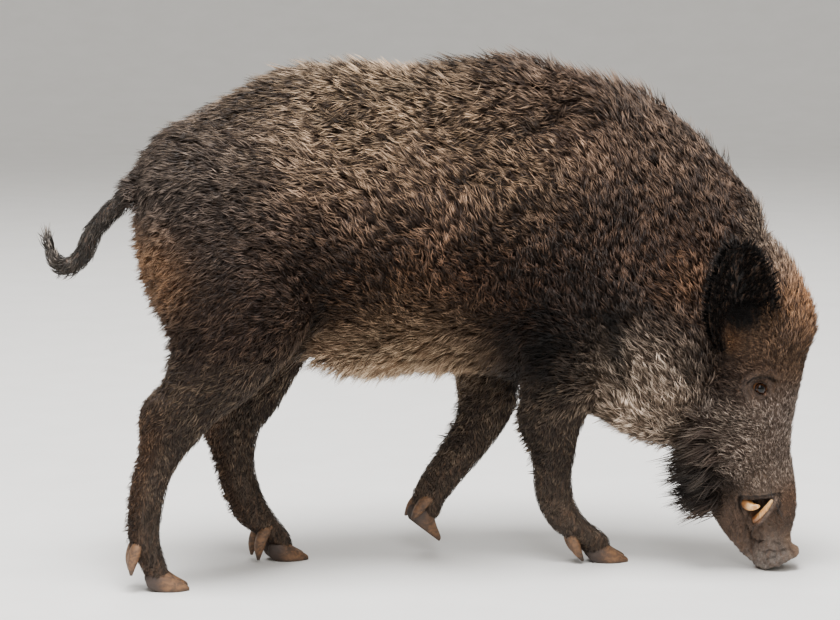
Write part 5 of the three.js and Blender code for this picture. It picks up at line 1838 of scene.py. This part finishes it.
class BOAR_OT_ears(bpy.types.Operator):
    """Two cupped ears in their own black fur"""
    bl_idname = "boar.ears"
    bl_label = "Ears"

    def execute(self, context):
        material = skin_finish(context.scene.boar_colours)
        fur = coat_finish("ear_hair", 0.6, 0.08)
        for name, side in SIDES:
            shell = solid_object(f"ear_shell_{name}", *loft(ear_rings(side)))
            triangulate(shell.data)
            unwrap(shell, "skin_map")
            count = len(shell.data.vertices)
            write_tones(shell.data, "tone", np.tile(linear(EAR_TONES[0]), (count, 1)))
            write_values(shell.data, "bare", np.zeros(count))
            finish(shell, material, "ear_fur", f"ear_{name}")
            finish(self.hair(shell, name, side), fur, "ear_fur")
        return {"FINISHED"}

    def hair(self, shell, name, side):
        surface = Surface(shell.data, ear_lie(side))
        density = np.full(len(surface.areas), EAR_HAIR_DENSITY / 100)
        tufts = Tufts(surface, density, EAR_SEED + side, EAR_HAIR_LOCK)
        tufts.hang(direction=tufts.lie + tufts.outwards * EAR_HAIR_OUT, **EAR_HAIR)
        dark, tip, pale = (linear(tone) for tone in EAR_TONES)
        count = len(tufts.roots)
        paler = ease(0.9, 1.9, tufts.vary(0.8, 0.5) + 0.5 * ease(-70, -30, tufts.spots.head[:, 0]))
        tones = (np.tile(dark, (count, 1)), mix(np.tile(tip, (count, 1)), pale, paler),
                 tufts.about(0.15, 0.1, 0.5, 1.5))
        return tuft_object(f"ear_hair_{name}", tufts, np.full(count, True), False, tones)


class BOAR_OT_coat(bpy.types.Operator):
    """The bristly coat of the body and the short coat of face, legs and tail"""
    bl_idname = "boar.coat"
    bl_label = "Coat"

    def execute(self, context):
        sizes = context.scene.boar_coat
        surface = skin_surface()
        spots = Spots(surface.middles)
        length, _ = growth_of(spots)
        short = ease(SHORT_FROM + 3, SHORT_FROM - 3, length)
        legs = (spots.on_leg > 0.5) | (spots.on_tail > 0.5)
        head = ~legs & ((spots.on_head > 0.5) | (short > 0.5))
        body = ~legs & ~head
        furry = (1 - bare_share(spots)) / 100
        material = coat_finish("bristles", 0.5)
        # name, where it grows, density, habit, tufts in a lock, width, slot
        kinds = (
            ("coat", body, sizes.density, BODY_HABIT, 5, 1.0, "coat"),
            ("face", head, sizes.face_density, FACE_HABIT, 3, 0.8, "face_fur"),
            ("leg", legs, sizes.leg_density, LEG_HABIT, 4, 0.9, "leg_fur"),
        )
        closer = 1.0 + (CLOSER - 1.0) * short
        for i, (name, where, density, habit, lock, wide, slot) in enumerate(kinds):
            tufts = Tufts(surface, furry * where * density * closer, sizes.seed + i, lock)
            long, rise = growth_of(tufts.spots)
            width = sizes.tuft_width / MM * wide * (0.45 + 0.55 * ease(5, 26, long))
            tufts.grow(long, rise, width, habit)
            coat_pieces(tufts, name, False, habit, material, slot)
        return {"FINISHED"}


class BOAR_OT_fringes(bpy.types.Operator):
    """Mane, beard, forelock, belly fringe and the long hair of legs and tail"""
    bl_idname = "boar.fringes"
    bl_label = "Fringes"

    def execute(self, context):
        sizes = context.scene.boar_coat
        surface = skin_surface()
        spots = Spots(surface.middles)
        furry, places = 1 - bare_share(spots), fringe_places(spots)
        material = coat_finish("long_hair", 0.45)
        for i, (name, values) in enumerate(FRINGES.items()):
            density, length, width, along, out, down, back, spread, grizzle = values
            weight = places[name] * furry * density / 100
            tufts = Tufts(surface, weight, sizes.seed + FRINGE_SEED + i, FRINGE_LOCK)
            way = tufts.lie * along + tufts.outwards * out - UP * down
            way = way - HEAD_AXES[0] * back
            tufts.hang(length, way, out, width, spread, FRINGE_GATHER)
            tones = tuft_tones(tufts, grizzle)
            keep = np.full(len(tufts.roots), True)
            finish(tuft_object(f"fringe_{name}", tufts, keep, True, tones), material, "coat")
        return {"FINISHED"}


# Single hairs: a path on the head's plane, how far it spreads, hairs on a side, length and
# the way they point on the head: ahead, up and out.
HAIRS = {
    "lashes": ([(-47, 295), (-38, 301), (-27, 297)], 1.0, 26, 10, (0.5, 0.2, 1.0)),
    "brows": ([(-52, 322), (-30, 326)], 5.0, 7, 34, (0.3, 0.2, 1.0)),
    "lip": ([(-12, 132), (8, 112), (14, 84)], 9.0, 22, 26, (0.1, -0.6, 1.0)),
    "chin": ([(-58, 58), (-72, 76)], 7.0, 12, 28, (-0.6, -0.8, 0.8)),
}
HAIR_SEED = 90
HAIR_STRAY = 0.16
HAIR_BEND = 0.22
HAIR_SIDES = 5
HAIR_START = 62.0  # the skin's nearest place is sought from this far off the head's plane


def hair_node(group, kind, values=None, **settings):
    """Adds a node with its settings; values are numbers or other nodes' outputs."""
    node = group.nodes.new(kind)
    for name, value in settings.items():
        setattr(node, name, value)
    for name, value in (values or {}).items():
        if isinstance(value, bpy.types.NodeSocket):
            group.links.new(value, node.inputs[name])
        else:
            node.inputs[name].default_value = value
    return node


def hair_maths(group, operation, first, second):
    return hair_node(group, "ShaderNodeMath", {0: first, 1: second}, operation=operation).outputs[0]


def root_value(group, name, kind):
    """A value that each root carries."""
    return hair_node(group, "GeometryNodeInputNamedAttribute", {"Name": name},
                     data_type=kind).outputs["Attribute"]


def bent_hair(group, inputs, length):
    """A tapered hair along Z that bends sideways, with its share of the way to the tip."""
    cone = hair_node(group, "GeometryNodeMeshCone",
                     {"Vertices": HAIR_SIDES, "Side Segments": HAIR_SIDES, "Radius Top": 0.0,
                      "Radius Bottom": inputs["Radius"], "Depth": length})
    place = hair_node(group, "GeometryNodeInputPosition")
    high = hair_node(group, "ShaderNodeSeparateXYZ", {0: place.outputs[0]}).outputs["Z"]
    share = hair_maths(group, "DIVIDE", high, length)
    aside = hair_maths(group, "MULTIPLY", hair_maths(group, "POWER", share, 2.0),
                       hair_maths(group, "MULTIPLY", inputs["Bend"], length))
    offset = hair_node(group, "ShaderNodeCombineXYZ", {"X": aside})
    kept = hair_node(group, "GeometryNodeStoreNamedAttribute",
                     {"Geometry": cone.outputs["Mesh"], "Name": "share", "Value": share},
                     data_type="FLOAT", domain="POINT")
    bent = hair_node(group, "GeometryNodeSetPosition",
                     {"Geometry": kept.outputs[0], "Offset": offset.outputs[0]})
    return bent.outputs[0]


def hair_group():
    """Sets a bent hair on every root, turned to the root's own way, as one plain mesh."""
    group = bpy.data.node_groups.new("hairs_on_roots", "GeometryNodeTree")
    kinds = {"Roots": "Geometry", "Length": "Float", "Radius": "Float", "Bend": "Float",
             "Material": "Material"}
    for name, kind in kinds.items():
        group.interface.new_socket(name, in_out="INPUT", socket_type=f"NodeSocket{kind}")
    group.interface.new_socket("Hairs", in_out="OUTPUT", socket_type="NodeSocketGeometry")
    inputs = group.nodes.new("NodeGroupInput").outputs
    hair = bent_hair(group, inputs, inputs["Length"])
    turned = hair_node(group, "FunctionNodeAlignRotationToVector",
                       {"Vector": root_value(group, "way", "FLOAT_VECTOR")}, axis="Z")
    placed = hair_node(group, "GeometryNodeInstanceOnPoints",
                       {"Points": inputs["Roots"], "Instance": hair,
                        "Rotation": turned.outputs[0], "Scale": root_value(group, "size", "FLOAT")})
    real = hair_node(group, "GeometryNodeRealizeInstances", {"Geometry": placed.outputs[0]})
    along = hair_maths(group, "MULTIPLY", root_value(group, "share", "FLOAT"), TUFT_PATCH)
    shift = hair_node(group, "ShaderNodeCombineXYZ", {"X": along, "Y": along})
    flat = hair_node(group, "ShaderNodeVectorMath",
                     {0: root_value(group, "flat", "FLOAT_VECTOR"), 1: shift.outputs[0]},
                     operation="ADD")
    mapped = hair_node(group, "GeometryNodeStoreNamedAttribute",
                       {"Geometry": real.outputs[0], "Name": "OFBake", "Value": flat.outputs[0]},
                       data_type="FLOAT2", domain="CORNER")
    dressed = hair_node(group, "GeometryNodeSetMaterial",
                        {"Geometry": mapped.outputs[0], "Material": inputs["Material"]})
    hair_node(group, "NodeGroupOutput", {"Hairs": dressed.outputs[0]})
    return group


def hair_roots(name, seed):
    """Points on the skin along a path, each with its hair's way, size and unwrap place."""
    path, spread, count, _, way = HAIRS[name]
    rng = np.random.default_rng(seed)
    surface = skin_surface()
    path = np.array(path, float)
    steps = np.linspace(0, len(path) - 1, count)
    roots, ways, flats = [], [], []
    for _, side in SIDES:
        plane = np.stack([np.interp(steps, range(len(path)), path[:, i]) for i in (0, 1)], axis=1)
        plane = plane + rng.uniform(-spread, spread, plane.shape)
        guess = head_place(np.column_stack([plane, np.full(count, side * HAIR_START)]))
        places, _, faces = surface.nearest(guess)
        turn = np.array([way[0], way[1], way[2] * side]) + rng.normal(0, HAIR_STRAY, (count, 3))
        roots.append(places)
        ways.append(unit(turn @ HEAD_AXES))
        flats.append(surface.flat[faces][:, 0])
    mesh = bpy.data.meshes.new(f"{name}_roots")
    mesh.from_pydata(to_frame(np.concatenate(roots)).tolist(), [], [])
    flat = np.concatenate(flats)
    write_attribute(mesh, "way", "FLOAT_VECTOR", np.concatenate(ways), "vector")
    write_values(mesh, "size", rng.uniform(0.6, 1.1, len(flat)))
    flat = np.column_stack([flat, np.zeros(len(flat))])
    write_attribute(mesh, "flat", "FLOAT_VECTOR", flat, "vector")
    return new_object(f"hairs_{name}", mesh)


class BOAR_OT_hairs(bpy.types.Operator):
    """Lashes and whiskers, as single bent hairs"""
    bl_idname = "boar.hairs"
    bl_label = "Lashes and whiskers"

    def execute(self, context):
        sizes = context.scene.boar_coat
        material = hair_finish(context.scene.boar_colours)
        group = hair_group()
        sockets = {item.name: item.identifier for item in group.interface.items_tree}
        for i, (name, (_, _, _, length, _)) in enumerate(HAIRS.items()):
            piece = hair_roots(name, sizes.seed + HAIR_SEED + i)
            modifier = piece.modifiers.new("hairs", "NODES")
            modifier.node_group = group
            modifier[sockets["Length"]] = length * MM
            modifier[sockets["Radius"]] = sizes.whisker_radius
            modifier[sockets["Bend"]] = HAIR_BEND
            modifier[sockets["Material"]] = material
            finish(applied(piece), material, "coat")
        return {"FINISHED"}


VIEW_MIDDLE = (393.4, -35.0, 400.0)  # the place that the camera looks at
LAMP_AIM = (0.0, 0.0, 0.4)
# Square lamps: place, side and power, in metres and watts.
LAMPS = {
    "key": ((-0.4, -1.1, 4.6), 2.4, 620),
    "fill": ((-0.4, -4.2, 3.3), 1.7, 90),
    "back": ((0.4, 3.4, 3.4), 3.0, 110),
}
SKY_TONE = (1.0, 0.985, 0.96, 1)
SKY_STRENGTH = 0.55
# The floor: flat to its radius, then a quarter round up to a wall of this height.
FLOOR = {"radius": 7.0, "bend": 4.0, "wall": 9.0, "levels": 24, "sides": 64}


class BOAR_OT_stage(bpy.types.Operator):
    """Pale floor, soft studio light and the camera"""
    bl_idname = "boar.stage"
    bl_label = "Stage"

    def execute(self, context):
        self.floor(floor_finish(context.scene.boar_colours))
        self.world()
        for name, values in LAMPS.items():
            self.lamp(name, *values)
        self.camera(context.scene.boar_view)
        return {"FINISHED"}

    def floor(self, material):
        """A floor that rises in a smooth curve to a wall all round."""
        radius, bend, sides = FLOOR["radius"], FLOOR["bend"], FLOOR["sides"]
        rise = np.linspace(0, 1, FLOOR["levels"]) * math.pi / 2
        rings = [(radius + bend * math.sin(a), bend * (1 - math.cos(a))) for a in rise]
        rings.append((radius + bend, FLOOR["wall"]))
        turn = np.linspace(0, 2 * math.pi, sides, endpoint=False)
        points = [(0.0, 0.0, 0.0)]
        points += [(r * math.cos(a), r * math.sin(a), z) for r, z in rings for a in turn]
        ring = [(i, (i + 1) % sides) for i in range(sides)]
        faces = [(0, 1 + i, 1 + j) for i, j in ring]
        for base in range(1, 1 + (len(rings) - 1) * sides, sides):
            over = base + sides
            faces += [(base + i, over + i, over + j, base + j) for i, j in ring]
        mesh = bpy.data.meshes.new("floor")
        mesh.from_pydata(points, [], faces)
        mesh.shade_smooth()
        floor = new_object("floor", mesh)
        mesh.materials.append(material)

    def world(self):
        world = bpy.data.worlds.new("studio")
        world.use_nodes = True
        sky = world.node_tree.nodes["Background"]
        sky.inputs["Color"].default_value = SKY_TONE
        sky.inputs["Strength"].default_value = SKY_STRENGTH
        bpy.context.scene.world = world

    def lamp(self, name, place, size, power):
        """A square lamp turned to the boar's middle."""
        light = bpy.data.lights.new(name, "AREA")
        light.size = size
        light.energy = power
        lamp = new_object(name, light)
        lamp.location = place
        aim = Vector(LAMP_AIM) - lamp.location
        lamp.rotation_euler = aim.to_track_quat("-Z", "Y").to_euler()

    def camera(self, view):
        """The camera of the main view, turned to the boar's middle."""
        a, e = view.azimuth, view.elevation
        back = Vector((math.sin(a) * math.cos(e), -math.cos(a) * math.cos(e), math.sin(e)))
        data = bpy.data.cameras.new("camera")
        data.lens = view.lens
        data.sensor_width = 36
        camera = new_object("camera", data)
        middle = Vector(to_frame(np.array(VIEW_MIDDLE)).tolist())
        camera.location = middle + back * view.distance
        camera.rotation_euler = (-back).to_track_quat("-Z", "Y").to_euler()
        bpy.context.scene.camera = camera


OPERATORS = [BOAR_OT_skin, BOAR_OT_eyes, BOAR_OT_tusks, BOAR_OT_claws, BOAR_OT_ears,
             BOAR_OT_coat, BOAR_OT_fringes, BOAR_OT_hairs, BOAR_OT_stage]


class BOAR_PT_panel(bpy.types.Panel):
    """The boar's pieces, in the order that they are made"""
    bl_label = "Boar"
    bl_space_type = "VIEW_3D"
    bl_region_type = "UI"
    bl_category = "Boar"

    def draw(self, context):
        for group in (getattr(context.scene, name) for name in GROUPS):
            for name in group.bl_rna.properties.keys():
                if name not in ("rna_type", "name"):
                    self.layout.prop(group, name)
        for operator in OPERATORS:
            self.layout.operator(operator.bl_idname)


GROUPS = {"boar_coat": BoarCoat, "boar_colours": BoarColours, "boar_view": BoarView}
CLASSES = [*GROUPS.values(), *OPERATORS, BOAR_PT_panel]


def register():
    for each in CLASSES:
        bpy.utils.register_class(each)
    for name, group in GROUPS.items():
        setattr(bpy.types.Scene, name, bpy.props.PointerProperty(type=group))


def unregister():
    for name in GROUPS:
        delattr(bpy.types.Scene, name)
    for each in reversed(CLASSES):
        bpy.utils.unregister_class(each)


def main():
    register()
    for operator in OPERATORS:
        group, name = operator.bl_idname.split(".")
        getattr(getattr(bpy.ops, group), name)()


if __name__ == "__main__":
    main()
